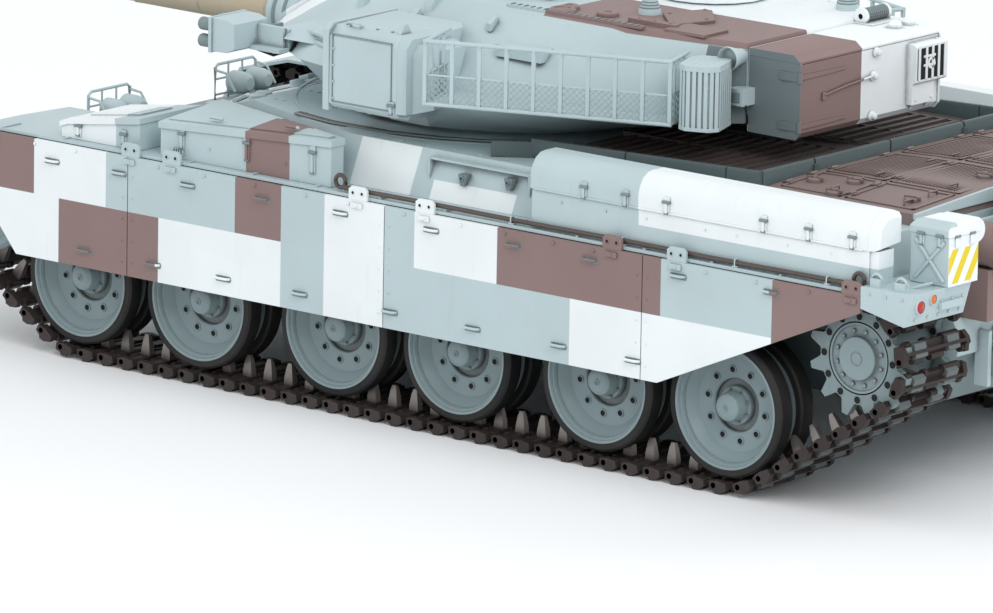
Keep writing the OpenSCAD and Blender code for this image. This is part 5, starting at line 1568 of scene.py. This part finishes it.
def build_filter_pack():
    camo = turret_paint()
    dark = plain("turret_dark", "grey_dark")
    black = plain("deck_slots", "hole")
    s = Shape()
    body = [(203.4, 114.2), (224.6, 114.2), (226.4, 116.4), (226.4, 140.8), (223.4, 143.6), (203.4, 143.6)]
    s.prism("x", -40.6, 40.6, body)
    lid = [(203.6, 141.4), (226.6, 141.2), (226.6, 142.0), (223.6, 144.3), (203.6, 144.3)]
    s.prism("x", -41, 41, lid)
    for x in (-40.8, 40.2):
        s.prism("x", x - 0.5, x + 0.7, [(204, 114), (225, 113.8), (226.9, 116), (226.9, 141),
                (223.8, 144.2), (204, 144.2)])
    # Ventilation box with a grille, a smaller box below it and clamps.
    s.loft([[(x, y, z) for x, z in ((-40.4, z0), (-21.6, z0), (-21.6, z1), (-40.4, z1))]
            for y, z0, z1 in ((225.6, 125.2, 139.8), (229.4, 125.2, 139.8), (230.6, 126.0, 139.0))])
    # Near-black sheet behind the grille bars: painted shade inside the vent.
    s.box(-39.4, -22.6, 230.3, 230.7, 126.8, 138.2, 2)
    for x in (-39.2, -35.6, -32.0, -28.4, -24.2):
        s.box(x, x + 1.3, 230.4, 231.0, 126.6, 138.4)
    for z in (131.4, 134.6):
        s.box(-33, -26, 230.45, 230.95, z, z + 0.9)
    s.turned("y", (-30.6, 0, 132.4), [(230.2, 2.4), (231.0, 2.2), (231.0, 1.2), (230.6, 1.1)], 20)
    for x in (-37, -25):
        s.bolt("z", (x, 228, 139.7), 0.6, 0.5)
    s.box(-34.8, -21.6, 225.6, 229.2, 117.7, 125.3)
    for x in (-33, -24):
        s.bolt("y", (x, 229.1, 119.4), 0.6, 0.5)
        s.bolt("y", (x, 226.5, 116.4), 0.7, 0.8)
    for x, z in ((-3, 139.5), (-1, 116.8), (-1.4, 131.2)):
        s.turned("y", (x, 0, z), [(225.6, 1.9), (227.2, 1.8), (227.6, 1.2), (228.8, 1.1), (229, 0.7),
                (229, 0.01)], 20)
    # Long straps from the hinges on the left edge, and the lock bar to the middle.
    for z in (136.4, 118.6):
        s.loft([[(x, 226.0, z - h), (x, 226.9, z - h), (x, 226.9, z + h), (x, 226.0, z + h)]
                for x, h in ((40.4, 0.9), (24, 0.7), (14, 0.35))])
        s.prism("z", z - 1.6, z + 1.6, [(38.4, 226.2), (41.0, 226.2), (41.6, 219), (40.8, 216.4),
                (40.4, 216.4)])
        s.rod("z", z - 2.1, z + 2.1, (40.6, 226.4, 0), 0.9, 14)
    s.tube([(27, 227.0, 128.4), (14, 227.4, 130.2), (-1, 227.6, 131.4)], 0.42, 8)
    s.box(26, 28, 226.2, 227.2, 126.6, 129.4)
    for x, y, r, h in ((-24, 219, 2.6, 147), (-32, 219, 2.6, 147)):
        s.turned("z", (x, y, 0), [(143.8, r), (145.6, r), (146.2, r - 0.5), (h - 0.4, r - 0.8),
                (h, r - 1.3), (h, 0.01)], 24)
        for k in range(6):
            a = radians(60 * k)
            s.bolt("z", (x + (r + 1.0) * cos(a), y + (r + 1.0) * sin(a), 144.2), 0.45, 0.4)
        # Cable reel on its bracket with wound turns of cable.
    s.box(-36, -20, 200, 212, 144, 144.8)
    for x in (-34.6, -21.4):
        s.turned("x", (0, 206, 147), [(x - 0.6, 3.1), (x + 0.6, 3.1), (x + 0.6, 1.0)], 24)
    for k in range(11):
        x = -33.4 + k * 1.13
        ring = [(x, 206 + 2.2 * cos(2 * pi * i / 18), 147 + 2.2 * sin(2 * pi * i / 18)) for i in range(18)]
        s.tube(ring, 0.6, 6, 1, closed=True)
    piece("filter_pack_look", s, [camo, dark, black], "turret", ["filter_pack"], 0.3)


def build_turret_fittings():
    camo = turret_paint()
    grey = plain("basket_finish", "grey")
    dark = plain("turret_dark", "grey_dark")
    black = plain("deck_slots", "hole")
    mats = [camo, grey, dark, black]
    s = Shape()
    for sg in (-1, 1):
        # Smoke dischargers stepped on the front cheeks, with a hood over the tubes.
        p = Shape()
        p.loft([[(54, y, z0), (72.6, y, z0), (72.6, y, z1), (54, y, z1)]
                for y, z0, z1 in ((-19.6, 116.2, 128.8), (-12, 116.4, 128.6), (-8.2, 118, 127.4))])
        p.box(42, 63.6, -8.6, 5.6, 117.2, 118.8, 0)
        p.box(58, 59.6, -8.6, 4, 118.6, 126.2, 1)
        p.prism("x", 44, 57.8, [(-6, 118.7), (5.4, 118.7), (5.4, 125.4), (2, 126.2)])
        p.box(46, 57, -8.6, -7.2, 118.6, 124.8, 2)
        p.box(53.4, 73.4, -20.0, -18.6, 115.8, 129.0, 1)
        for x in (58, 69):
            for z in (119, 125.2):
                tube = [(-19, 2.4), (-26.4, 2.45), (-27, 2.15), (-26.9, 1.8), (-24, 1.75), (-24, 0.01)]
                p.turned("y", (x, 0, z), tube, 20, 2)
                p.turned("y", (x, 0, z), [(-20, 2.8), (-21.4, 2.8), (-21.6, 2.4)], 20, 1)
                p.bolt("y", (x + 3.4, -20, z), 0.5, 0.4, sign=-1)
        p.tube([(63, -8, 118), (60, 0, 115.6), (57, 6, 118), (54, 6, 121)], 0.6, 8, 3)
        out = Shape()
        out.moved(Matrix.Scale(sg, 4, (1, 0, 0)), p)
        s.moved(Matrix.Identity(4), out)
    # Aerial bases with sprung feet.
    for x, y in ((22, 144), (-34, 190)):
        s.turned("z", (x, y, 0), [(145.6, 4.2), (147.2, 4.0), (150.2, 2.7), (151.8, 2.5), (152, 2.0),
                (155.4, 1.6),
                                  (156, 1.0), (156, 0.01)], 24, 1)
        for k in range(4):
            s.turned("z", (x, y, 0), [(147.8 + k, 3.75 - 0.45 * k), (148.1 + k, 3.95 - 0.45 * k),
                    (148.4 + k, 3.4 - 0.45 * k)], 24, 2)
        for k in range(6):
            a = radians(60 * k)
            s.bolt("z", (x + 3.7 * cos(a), y + 3.7 * sin(a), 146.8), 0.5, 0.5, mat=1)
    # Ledge and step boxes on the left cheek.
    s.prism("y", 4.4, 23.6, [(28.4, 122.2), (59.6, 122.2), (56, 126), (50, 127), (30, 127)])
    s.box(44, 46.8, 28.4, 31.6, 135, 139)
    s.turned("z", (42, 120, 0), [(145.4, 5), (146.6, 5), (147.3, 4.2), (147.3, 3.2), (146.8, 3),
            (146.8, 0.01)], 28)
    s.prism("y", 64.4, 67.6, [(38.4, 134.4), (53.6, 134.4), (52, 142), (48, 146.6), (40, 146.6)])
    s.prism("z", 145.4, 147.3, [(35.4, 148.6), (40, 148.2), (40, 169.6), (37, 169.6)])
    for y in (152, 159, 166):
        s.bolt("z", (38, y, 147.2), 0.5, 0.4)
    # Slatted can behind the left basket, with a switch box and a round lamp beside it.
    p = Shape()
    corners = [(-10, -4.5), (-7, -7.5), (7, -7.5), (10, -4.5), (10, 4.5), (7, 7.5), (-7, 7.5), (-10, 4.5)]
    for z0, z1, f in ((0.4, 1.8, 1.0), (1.8, 21.8, 0.93), (21.8, 24.0, 1.0)):
        p.prism("z", z0, z1, [(x * f, y * f) for x, y in corners], 1)
    for i, (xa, ya) in enumerate(corners):
        xb, yb = corners[(i + 1) % 8]
        steps = max(1, round(hypot(xb - xa, yb - ya) / 2.4))
        for k in range(steps):
            x, y = xa + (xb - xa) * (k + 0.5) / steps, ya + (yb - ya) * (k + 0.5) / steps
            a = atan2(yb - ya, xb - xa)
            q = Shape()
            q.box(-0.75, 0.75, -0.35, 0.35, 1.4, 22.2, 1)
            p.moved(Matrix.Translation((x * 0.96, y * 0.96, 0)) @ Matrix.Rotation(a, 4, "Z"), q)
    for k in range(5):
        p.box(-7, 7, -6 + k * 2.8, -5 + k * 2.8, 23.6, 24.1, 1)
    s.moved(Matrix.Translation((58, 198, 117)) @ Matrix.Rotation(radians(20), 4, "Z"), p)
    s.box(40.4, 47.8, 200.3, 206.8, 124.2, 130.3, 1)
    s.box(47.7, 48.1, 201.6, 205.4, 125.4, 129.0, 2)
    s.tube([(46, 206.6, 124.6), (46, 207.4, 121), (44, 206, 117.5)], 0.5, 8, 3)
    s.turned("x", (0, 201, 141), [(41, 2.6), (45, 3.2), (49.2, 4.4), (50, 4.3), (49.4, 3.8), (47.6, 3.2),
            (47.6, 0.01)], 28, 1)
    # Hooded gunner's sight.
    s.loft([[(-21.6, y, 145.4), (-6.4, y, 145.4), (-6.4 - d, y, z), (-21.6 + d, y, z)]
            for y, z, d in ((84.4, 152.4, 1.2), (86, 153, 0.8), (97.6, 153, 0.8))])
    s.box(-19.6, -8.4, 84.0, 84.5, 147.2, 151.2, 3)
    for x in (-20, -8):
        s.bolt("z", (x, 95.6, 152.8), 0.5, 0.4)
    # Elevation servo inside the front of the turret.
    s.box(20.4, 33.6, 44.4, 67.6, 110.4, 133.6, 3)
    s.box(20.2, 33.8, 42.8, 69.2, 126, 127.6, 3)
    s.turned("z", (27, 50, 0), [(133.4, 3.2), (137, 3.2), (137.2, 1.6), (138.6, 1.6), (138.6, 0.01)], 20, 1)
    s.box(25.4, 28.6, 50, 61.6, 138.4, 140.2, 1)
    # Machine gun's stowed ammunition tray and roof rail on the right.
    s.tube([(-46, 150, 144), (-47, 152, 147), (-47, 176, 147), (-45, 178, 144.6)], 0.8, 10, 1)
    piece("turret_fittings_look", s, mats, "turret", ["turret_fittings"], 0.25)


def build_cupola():
    white = plain("cupola_finish", "white")
    grey = plain("basket_finish", "grey")
    lens = plain("lamp_lens", "lens")
    black = plain("deck_slots", "hole")
    s = Shape()
    cx, cy, cz = -22, 138, TURRET_Z
    ring = []
    # Scalloped skirt ring: eighteen shallow arcs round the base.
    for f, z in ((0.955, 0.5), (1.0, 0.8), (1.0, 3.6), (0.975, 4.6), (0.9, 5.0)):
        pts = []
        for k in range(108):
            a = 2 * pi * k / 108
            r = 22.0 * f * (1 - 0.022 * abs(sin(9 * a)))
            pts.append((cx + r * cos(a), cy + r * sin(a), cz + z))
        ring.append(pts)
    s.loft(ring)
    prof = [(4.8, 18.5), (6, 18.4), (11.2, 17.6), (12, 16.8), (12.2, 14.2), (14.0, 13.8), (14.4, 13.2),
            (14.4, 9.4), (15.6, 9.0),
            (16, 8.2), (16, 0.01)]
    s.turned("z", (cx, cy, cz), prof, 72)
    for k in range(9):
        a = radians(40 * k)
        p = Shape()
        p.loft([[(14.6, -3, 5), (19.6, -3, 5), (20.8, -3, 6.4), (20.8, -3, 11), (19.2, -3, 12.4),
                (14.6, -3, 12.4)],
                [(14.6, 3, 5), (19.6, 3, 5), (20.8, 3, 6.4), (20.8, 3, 11), (19.2, 3, 12.4),
                        (14.6, 3, 12.4)]], 0)
        p.box(20.7, 20.95, -2.2, 2.2, 7, 10.6, 2)
        p.bolt("z", (17, 1.8, 12.3), 0.45, 0.4)
        p.bolt("z", (17, -1.8, 12.3), 0.45, 0.4)
        s.moved(Matrix.Translation((cx, cy, cz)) @ Matrix.Rotation(a, 4, "Z"), p)
    for k in range(18):
        a = radians(20 * k + 10)
        s.bolt("z", (cx + 20.3 * cos(a), cy + 20.3 * sin(a), cz + 4.6), 0.55, 0.5)
    s.loft([[(cx - 3.8, cy - y, cz + z0), (cx + 3.8, cy - y, cz + z0), (cx + 3.8, cy - y, cz + z1),
            (cx - 3.8, cy - y, cz + z1)]
            for y, z0, z1 in ((14.2, 11.5, 17.6), (20.6, 11.0, 17.8), (21.8, 11.4, 16.8))], 1)
    s.turned("y", (cx, 0, cz + 14.4), [(cy - 21.7, 2.7), (cy - 21.98, 2.2), (cy - 21.98, 0.01)], 24, 2)
    s.rod("x", cx - 6, cx + 6, (0, cy + 10.6, cz + 14.9), 0.9, 12, 1)
    s.tube([(cx - 4, cy - 4, cz + 15.6), (cx - 4, cy - 4, cz + 17.2), (cx + 4, cy - 4, cz + 17.2),
            (cx + 4, cy - 4, cz + 15.6)],
           0.5, 8, 1)
    piece("cupola_look", s, [white, grey, lens, black], "commander_cupola", ["cupola"], 0.2)


def build_loader():
    brown = plain("rear_brown", "brown")
    grey = plain("basket_finish", "grey")
    lens = plain("lamp_lens", "lens")
    s = Shape()
    cx, cy, cz = 22, 86, TURRET_Z
    s.turned("z", (cx, cy, cz), [(0.5, 0.01), (0.5, 13.7), (1.0, 14), (1.7, 14), (2.2, 13.3), (2.2, 8.2),
            (2.9, 7.9), (3.4, 7.3),
                                 (3.4, 0.01)], 64)
    s.box(cx - 6.8, cx + 6.8, cy + 12, cy + 17, cz + 0.6, cz + 2.1)
    s.rod("x", cx - 7, cx + 7, (0, cy + 17, cz + 1.95), 1.45, 20, 1)
    s.tube([(cx - 4.8, cy - 6, cz + 2), (cx - 4.8, cy - 6, cz + 4.3), (cx + 4.8, cy - 6, cz + 4.3),
            (cx + 4.8, cy - 6, cz + 2)],
           0.5, 8, 1)
    s.box(cx - 3, cx + 3, cy - 1, cy + 3, cz + 3.3, cz + 4.4, 1)
    s.box(cx - 2.5, cx + 2.5, cy - 1.2, cy - 0.9, cz + 3.5, cz + 4.2, 2)
    for k in range(8):
        a = radians(45 * k + 22)
        s.bolt("z", (cx + 10.8 * cos(a), cy + 10.8 * sin(a), cz + 2.15), 0.5, 0.4)
    piece("loader_hatch_look", s, [brown, grey, lens], "loader_door", ["loader_hatch"],
            0.2)


def build_gun():
    grey = plain("barrel_band", "grey")
    beige = plain("barrel_sleeve", "beige")
    dark = plain("barrel_dark", "grey_dark")
    steel = plain("barrel_steel", "steel")
    black = plain("deck_slots", "hole")
    m = Shape()
    m.turned("x", (0, TRUNNION_Y, GUN_Z), [(-14, 5.8), (-14, 13.0), (-13.6, 13.4), (13.6, 13.4), (14, 13.0),
            (14, 5.8)], 72)
    m.turned("y", (0, 0, GUN_Z), [(-30, 10.4), (-43.4, 10.4), (-44, 10), (-44.2, 9.2), (-47.4, 9.2),
            (-48, 8.6), (-48, 5.7)], 56)
    for y in (-37, -42):
        m.turned("y", (0, 0, GUN_Z), [(y, 10.3), (y - 0.2, 10.7), (y - 1.6, 10.7), (y - 1.8, 10.3)], 56, 1)
    for k in range(8):
        a = radians(45 * k + 22.5)
        m.bolt("y", (7.6 * cos(a), -47.8, GUN_Z + 7.6 * sin(a)), 0.6, 0.5, sign=-1)
    m.box(-8, 8, -18, 1.9, GUN_Z - 6.8, GUN_Z + 6.8)
    piece("mantlet_look", m, [grey, dark], "gun", ["mantlet"], 0.25)
    b = Shape()

    def sleeve(y0, y1, r, mat=0):
        """Wrapped sleeve with slightly swollen middle and hemmed ends."""
        b.turned("y", (0, 0, GUN_Z), [(y0, r - 1.2), (y0, r - 0.35), (y0 - 0.7, r - 0.05),
                (y0 - 4, r - 0.12),
                                      ((y0 + y1) / 2, r - 0.02), (y1 + 4, r - 0.12), (y1 + 0.7, r - 0.05),
                                      (y1, r - 0.35),
                                      (y1, r - 1.2)], 56, mat)

    b.turned("y", (0, 0, GUN_Z), [(9.4, 3.4), (9.6, 5.5), (-80, 5.5), (-80, 3.4)], 40, 2)
    sleeve(-48.4, -118, 6.8)
    sleeve(-119.6, -176, 6.5)
    b.turned("y", (0, 0, GUN_Z), [(-176.5, 6), (-177.5, 7.2), (-179, 7.5), (-211.5, 7.5), (-213, 7.2),
            (-214, 6)], 56, 1)
    sleeve(-214.5, -262, 6.1)
    sleeve(-263, -316, 5.8)
    for y, r in ((-50, 6.6), (-83, 6.66), (-116, 6.6), (-122, 6.3), (-148, 6.4), (-174, 6.3),
            (-180.6, 7.42), (-209.6, 7.42),
                 (-217, 5.9), (-238, 6.0), (-260, 5.9), (-266, 5.6), (-290, 5.7), (-313, 5.6)):
        b.turned("y", (0, 0, GUN_Z), [(y + 0.8, r - 0.3), (y + 0.75, r + 0.12), (y - 0.75, r + 0.12),
                (y - 0.8, r - 0.3)], 48, 2)
    muzzle = [(-315, 4.5), (-323, 4.6), (-323.5, 5.6), (-324, 5.8), (-335, 5.8), (-335.5, 5.4), (-336, 4.6),
            (-337, 4.55),
              (-337.4, 4.2), (-337.3, 3.3), (-320, 3.2), (-320, 0.01)]
    b.turned("y", (0, 0, GUN_Z), muzzle, 48, 1)
    # Near-black disc deep in the bore: painted shade.
    b.turned("y", (0, 0, GUN_Z), [(-320.2, 3.15), (-320.0, 0.01)], 32, 4)
    b.box(-2.1, 2.1, -333.3, -325.7, GUN_Z + 4.8, GUN_Z + 7.9, 1)
    b.box(-1.4, 1.4, -325.8, -325.4, GUN_Z + 6.0, GUN_Z + 7.4, 4)
    piece("barrel_look", b, [beige, grey, dark, steel, black], "gun", ["gun_barrel"], 0.12)


# ---- under-side and inner parts


def build_inner():
    """Door, switch and the finishes of the working parts inside the hull."""
    grey = plain("rear_dark", "grey_dark")
    black = plain("switch_black", "black")
    s = Shape()
    s.loft([[(-24.2, 60.8, 32.2), (23.2, 60.8, 32.2), (23.2, 149.2, 32.2), (-24.2, 149.2, 32.2)],
            [(-24.5, 60.5, 32.6), (23.4, 60.5, 32.6), (23.4, 149.5, 32.6), (-24.5, 149.5, 32.6)],
            [(-24.5, 60.5, 34.1), (23.4, 60.5, 34.1), (23.4, 149.5, 34.1), (-24.5, 149.5, 34.1)]])
    for y in (70, 105, 140):
        s.box(-20, 18, y - 0.9, y + 0.9, 34, 35.7)
    s.rod("y", 62.2, 147.8, (23.4, 0, 33.2), 0.98, 16)
    for x in (-20, -16, -12):
        s.box(x, x + 1.4, 98, 112, 31.9, 32.3, 1)
    piece("battery_door_look", s, [grey, black], "battery_door", ["battery_hatch"], 0.15)
    t = Shape()
    t.box(-3.9, 3.9, 196.1, 202.9, 32.5, 36.9)
    t.box(-2, 2, 198, 201, 31, 32.8, 1)
    for k in range(3):
        t.box(-2.05, 2.05, 198.4 + k * 0.9, 198.8 + k * 0.9, 30.95, 31.4, 1)
    t.box(-8.9, 8.9, 194.7, 204.9, 34.8, 37.9)
    piece("switch_look", t, [grey, black], "switch", ["power_switch"], 0.12)
    finishes = {
        "battery_pack": plain("battery_finish", "battery"),
        "control_board": plain("board_finish", "board"),
        "drive_units": plain("drive_finish", "steel"),
    }
    for name, mat in finishes.items():
        for obj in bpy.data.objects:
            if obj.type == "MESH" and obj.name.split(".")[0] == name:
                obj.data.materials.clear()
                obj.data.materials.append(mat)


# ---- stage


def area_light(name, place, aim, size, watts):
    data = bpy.data.lights.new(name, "AREA")
    data.shape = "DISK"
    data.size = size
    data.energy = watts
    obj = bpy.data.objects.new(name, data)
    bpy.context.scene.collection.objects.link(obj)
    obj.location = place
    obj.rotation_euler = (Vector(aim) - Vector(place)).to_track_quat("-Z", "Y").to_euler()
    return obj


def build_stage():
    stage = bpy.context.scene.tank_stage
    side = stage.floor_size
    data = bpy.data.meshes.new("floor")
    cells = 8
    verts = [(side * (i / cells - 0.5), side * (j / cells - 0.5),
            0.0) for i in range(cells + 1) for j in range(cells + 1)]
    step = cells + 1
    faces = [(i * step + j, (i + 1) * step + j, (i + 1) * step + j + 1, i * step + j + 1)
             for i in range(cells) for j in range(cells)]
    data.from_pydata(verts, [], faces)
    floor = bpy.data.objects.new("floor", data)
    bpy.context.scene.collection.objects.link(floor)
    mat = bpy.data.materials.new("floor_finish")
    mat.use_nodes = True
    bsdf = mat.node_tree.nodes["Principled BSDF"]
    bsdf.inputs["Base Color"].default_value = tuple(stage.floor_colour) + (1.0,)
    bsdf.inputs["Roughness"].default_value = 0.9
    bsdf.inputs["Specular IOR Level"].default_value = 0.1
    data.materials.append(mat)
    world = bpy.data.worlds.new("studio")
    world.use_nodes = True
    back = world.node_tree.nodes["Background"]
    back.inputs[0].default_value = (0.97, 0.985, 1.0, 1.0)
    back.inputs[1].default_value = stage.fill
    bpy.context.scene.world = world
    for name, place, share in LAMPS:
        area_light(name, place, LAMP_AIM, LAMP_SIZE, stage.key * share)
    scene = bpy.context.scene
    scene.view_settings.view_transform = "Standard"
    scene.view_settings.look = "None"
    # Camera at the rear left of the tank, slightly above it.
    turn, tilt, roll = (radians(a) for a in (VIEW_TURN, VIEW_TILT, VIEW_ROLL))
    ahead = Vector((-cos(turn) * cos(tilt), -sin(turn) * cos(tilt), -sin(tilt)))
    right = Vector((-sin(turn), cos(turn), 0))
    up = right.cross(ahead)
    right, up = right * cos(roll) + up * sin(roll), up * cos(roll) - right * sin(roll)
    cam = bpy.data.cameras.new("view")
    cam.sensor_width = 36
    cam.lens = VIEW_LENS
    obj = bpy.data.objects.new("view", cam)
    scene.collection.objects.link(obj)
    spot = Vector(VIEW_TARGET) - ahead * VIEW_DISTANCE
    m = Matrix((right, up, -ahead)).transposed().to_4x4()
    m.translation = spot
    obj.matrix_world = m
    scene.camera = obj


# ---- add-on


def colour_prop(name, text, default):
    return bpy.props.FloatVectorProperty(name=name, description=text, subtype="COLOR", size=3, min=0, max=1,
            default=default)


class TankPaints(bpy.types.PropertyGroup):
    """Colours of the painted finish."""
    white: colour_prop("White", "Winter white of the pattern", WHITE)
    grey: colour_prop("Grey", "Pale grey of the pattern and of bare fittings", GREY)
    brown: colour_prop("Brown", "Brown of the pattern", BROWN)
    deck: colour_prop("Deck brown", "Brown of the engine deck", DECK_BROWN)
    dark: colour_prop("Rail", "Dark finish of the deck rail", DARK_GREEN)


class TankSizes(bpy.types.PropertyGroup):
    """Sizes of the fine detail."""
    edge: bpy.props.FloatProperty(name="Edge softness", description="Factor on the rounding of all edges",
            default=1.0,
                                  min=0.1, max=3.0, subtype="FACTOR")
    links: bpy.props.IntProperty(name="Track links", description="Number of links in each track",
            default=LINKS, min=60, max=130)
    mesh: bpy.props.FloatProperty(name="Basket mesh pitch", description="Spacing of the diamond mesh wires",
            default=0.00235,
                                  min=0.001, max=0.006, precision=5, unit="LENGTH")


class TankStage(bpy.types.PropertyGroup):
    """Floor and lights."""
    floor_size: bpy.props.FloatProperty(name="Floor size", description="Side of the square floor",
            default=30.0, min=2,
                                        max=60, unit="LENGTH")
    floor_colour: colour_prop("Floor", "Colour of the floor", (0.90, 0.91, 0.92))
    key: bpy.props.FloatProperty(name="Key light", description="Power of the main light in watts",
            default=18.0, min=0,
                                 max=200, unit="POWER")
    fill: bpy.props.FloatProperty(name="Fill light", description="Strength of the surrounding white",
            default=0.88, min=0, max=4)


class TANK_OT_running_gear(bpy.types.Operator):
    """Adds the road wheels, sprockets, idlers, return rollers and both tracks."""
    bl_idname = "tank.running_gear"
    bl_label = "Running gear"

    def execute(self, context):
        build_running_gear()
        return {"FINISHED"}


class TANK_OT_suspension(bpy.types.Operator):
    """Adds the bogie brackets, springs and swing arms."""
    bl_idname = "tank.suspension"
    bl_label = "Suspension"

    def execute(self, context):
        build_suspension()
        return {"FINISHED"}


class TANK_OT_skirts(bpy.types.Operator):
    """Adds the side skirt panels with their tabs, latches and grips."""
    bl_idname = "tank.skirts"
    bl_label = "Side skirts"

    def execute(self, context):
        build_skirts()
        return {"FINISHED"}


class TANK_OT_guards(bpy.types.Operator):
    """Adds the track guards with their ribs and edges."""
    bl_idname = "tank.guards"
    bl_label = "Track guards"

    def execute(self, context):
        build_guards()
        return {"FINISHED"}


class TANK_OT_bins(bpy.types.Operator):
    """Adds the lockers along both track guards."""
    bl_idname = "tank.bins"
    bl_label = "Stowage bins"

    def execute(self, context):
        build_bins()
        return {"FINISHED"}


class TANK_OT_cable(bpy.types.Operator):
    """Adds the twisted tow cables with their eyes and clips."""
    bl_idname = "tank.cable"
    bl_label = "Tow cables"

    def execute(self, context):
        build_cable()
        return {"FINISHED"}


class TANK_OT_upper_hull(bpy.types.Operator):
    """Adds the glacis, hull sides and roof plates."""
    bl_idname = "tank.upper_hull"
    bl_label = "Upper hull"

    def execute(self, context):
        build_upper_hull()
        return {"FINISHED"}


class TANK_OT_lower_hull(bpy.types.Operator):
    """Adds the belly, side plates and final drives."""
    bl_idname = "tank.lower_hull"
    bl_label = "Lower hull"

    def execute(self, context):
        build_lower_hull()
        return {"FINISHED"}


class TANK_OT_deck(bpy.types.Operator):
    """Adds the engine deck with its slats, hinges and handles."""
    bl_idname = "tank.deck"
    bl_label = "Engine deck"

    def execute(self, context):
        build_deck()
        return {"FINISHED"}


class TANK_OT_rail(bpy.types.Operator):
    """Adds the raised rail round the engine deck."""
    bl_idname = "tank.rail"
    bl_label = "Deck rail"

    def execute(self, context):
        build_rail()
        return {"FINISHED"}


class TANK_OT_rear(bpy.types.Operator):
    """Adds the rear plate, corner lockers, tail lamps and hooks."""
    bl_idname = "tank.rear"
    bl_label = "Rear fittings"

    def execute(self, context):
        build_rear()
        return {"FINISHED"}


class TANK_OT_front(bpy.types.Operator):
    """Adds the headlamps with their guards and the driver's hatch."""
    bl_idname = "tank.front"
    bl_label = "Front fittings"

    def execute(self, context):
        build_front()
        return {"FINISHED"}


class TANK_OT_turret_shell(bpy.types.Operator):
    """Adds the cast turret with its roof plates."""
    bl_idname = "tank.turret_shell"
    bl_label = "Turret shell"

    def execute(self, context):
        build_turret_shell()
        return {"FINISHED"}


class TANK_OT_searchlight(bpy.types.Operator):
    """Adds the armoured lamp housing on the turret's cheek."""
    bl_idname = "tank.searchlight"
    bl_label = "Lamp housing"

    def execute(self, context):
        build_searchlight()
        return {"FINISHED"}


class TANK_OT_baskets(bpy.types.Operator):
    """Adds the bar baskets with their diamond mesh."""
    bl_idname = "tank.baskets"
    bl_label = "Bar baskets"

    def execute(self, context):
        build_baskets()
        return {"FINISHED"}


class TANK_OT_filter_pack(bpy.types.Operator):
    """Adds the pack on the turret's rear with its vents and reel."""
    bl_idname = "tank.filter_pack"
    bl_label = "Filter pack"

    def execute(self, context):
        build_filter_pack()
        return {"FINISHED"}


class TANK_OT_turret_fittings(bpy.types.Operator):
    """Adds the smoke tubes, aerial bases, sights, slatted can and lamp."""
    bl_idname = "tank.turret_fittings"
    bl_label = "Turret fittings"

    def execute(self, context):
        build_turret_fittings()
        return {"FINISHED"}


class TANK_OT_cupola(bpy.types.Operator):
    """Adds the commander's cupola with its periscopes."""
    bl_idname = "tank.cupola"
    bl_label = "Cupola"

    def execute(self, context):
        build_cupola()
        return {"FINISHED"}


class TANK_OT_loader_hatch(bpy.types.Operator):
    """Adds the round hatch beside the cupola."""
    bl_idname = "tank.loader_hatch"
    bl_label = "Loader's hatch"

    def execute(self, context):
        build_loader()
        return {"FINISHED"}


class TANK_OT_gun(bpy.types.Operator):
    """Adds the rotor, collar, sleeved barrel and muzzle."""
    bl_idname = "tank.gun"
    bl_label = "Gun"

    def execute(self, context):
        build_gun()
        return {"FINISHED"}


class TANK_OT_inner_parts(bpy.types.Operator):
    """Adds the battery door and switch and finishes the inner parts."""
    bl_idname = "tank.inner_parts"
    bl_label = "Doors and inner parts"

    def execute(self, context):
        build_inner()
        return {"FINISHED"}


class TANK_OT_stage(bpy.types.Operator):
    """Adds the floor, the lights and the camera."""
    bl_idname = "tank.stage"
    bl_label = "Stage"

    def execute(self, context):
        build_stage()
        return {"FINISHED"}


class TANK_PT_panel(bpy.types.Panel):
    """Lists the builders with their colours and sizes."""
    bl_label = "Model tank"
    bl_idname = "TANK_PT_panel"
    bl_space_type = "VIEW_3D"
    bl_region_type = "UI"
    bl_category = "Tank"

    def draw(self, context):
        layout = self.layout
        for owner in (context.scene.tank_paints, context.scene.tank_sizes, context.scene.tank_stage):
            for key in type(owner).__annotations__:
                layout.prop(owner, key)
        for op in OPERATORS:
            layout.operator(op.bl_idname)


OPERATORS = (
    TANK_OT_running_gear, TANK_OT_suspension, TANK_OT_skirts,
    TANK_OT_guards, TANK_OT_bins, TANK_OT_cable,
    TANK_OT_upper_hull, TANK_OT_lower_hull, TANK_OT_deck,
    TANK_OT_rail, TANK_OT_rear, TANK_OT_front,
    TANK_OT_turret_shell, TANK_OT_searchlight, TANK_OT_baskets,
    TANK_OT_filter_pack, TANK_OT_turret_fittings, TANK_OT_cupola,
    TANK_OT_loader_hatch, TANK_OT_gun, TANK_OT_inner_parts,
    TANK_OT_stage,
)
CLASSES = (TankPaints, TankSizes, TankStage) + OPERATORS + (TANK_PT_panel,)


def register():
    for cls in CLASSES:
        bpy.utils.register_class(cls)
    bpy.types.Scene.tank_paints = bpy.props.PointerProperty(type=TankPaints)
    bpy.types.Scene.tank_sizes = bpy.props.PointerProperty(type=TankSizes)
    bpy.types.Scene.tank_stage = bpy.props.PointerProperty(type=TankStage)


def unregister():
    del bpy.types.Scene.tank_stage
    del bpy.types.Scene.tank_sizes
    del bpy.types.Scene.tank_paints
    for cls in reversed(CLASSES):
        bpy.utils.unregister_class(cls)


def main():
    register()
    for op in OPERATORS:
        getattr(bpy.ops.tank, op.bl_idname.split(".")[1])()


if __name__ == "__main__":
    main()
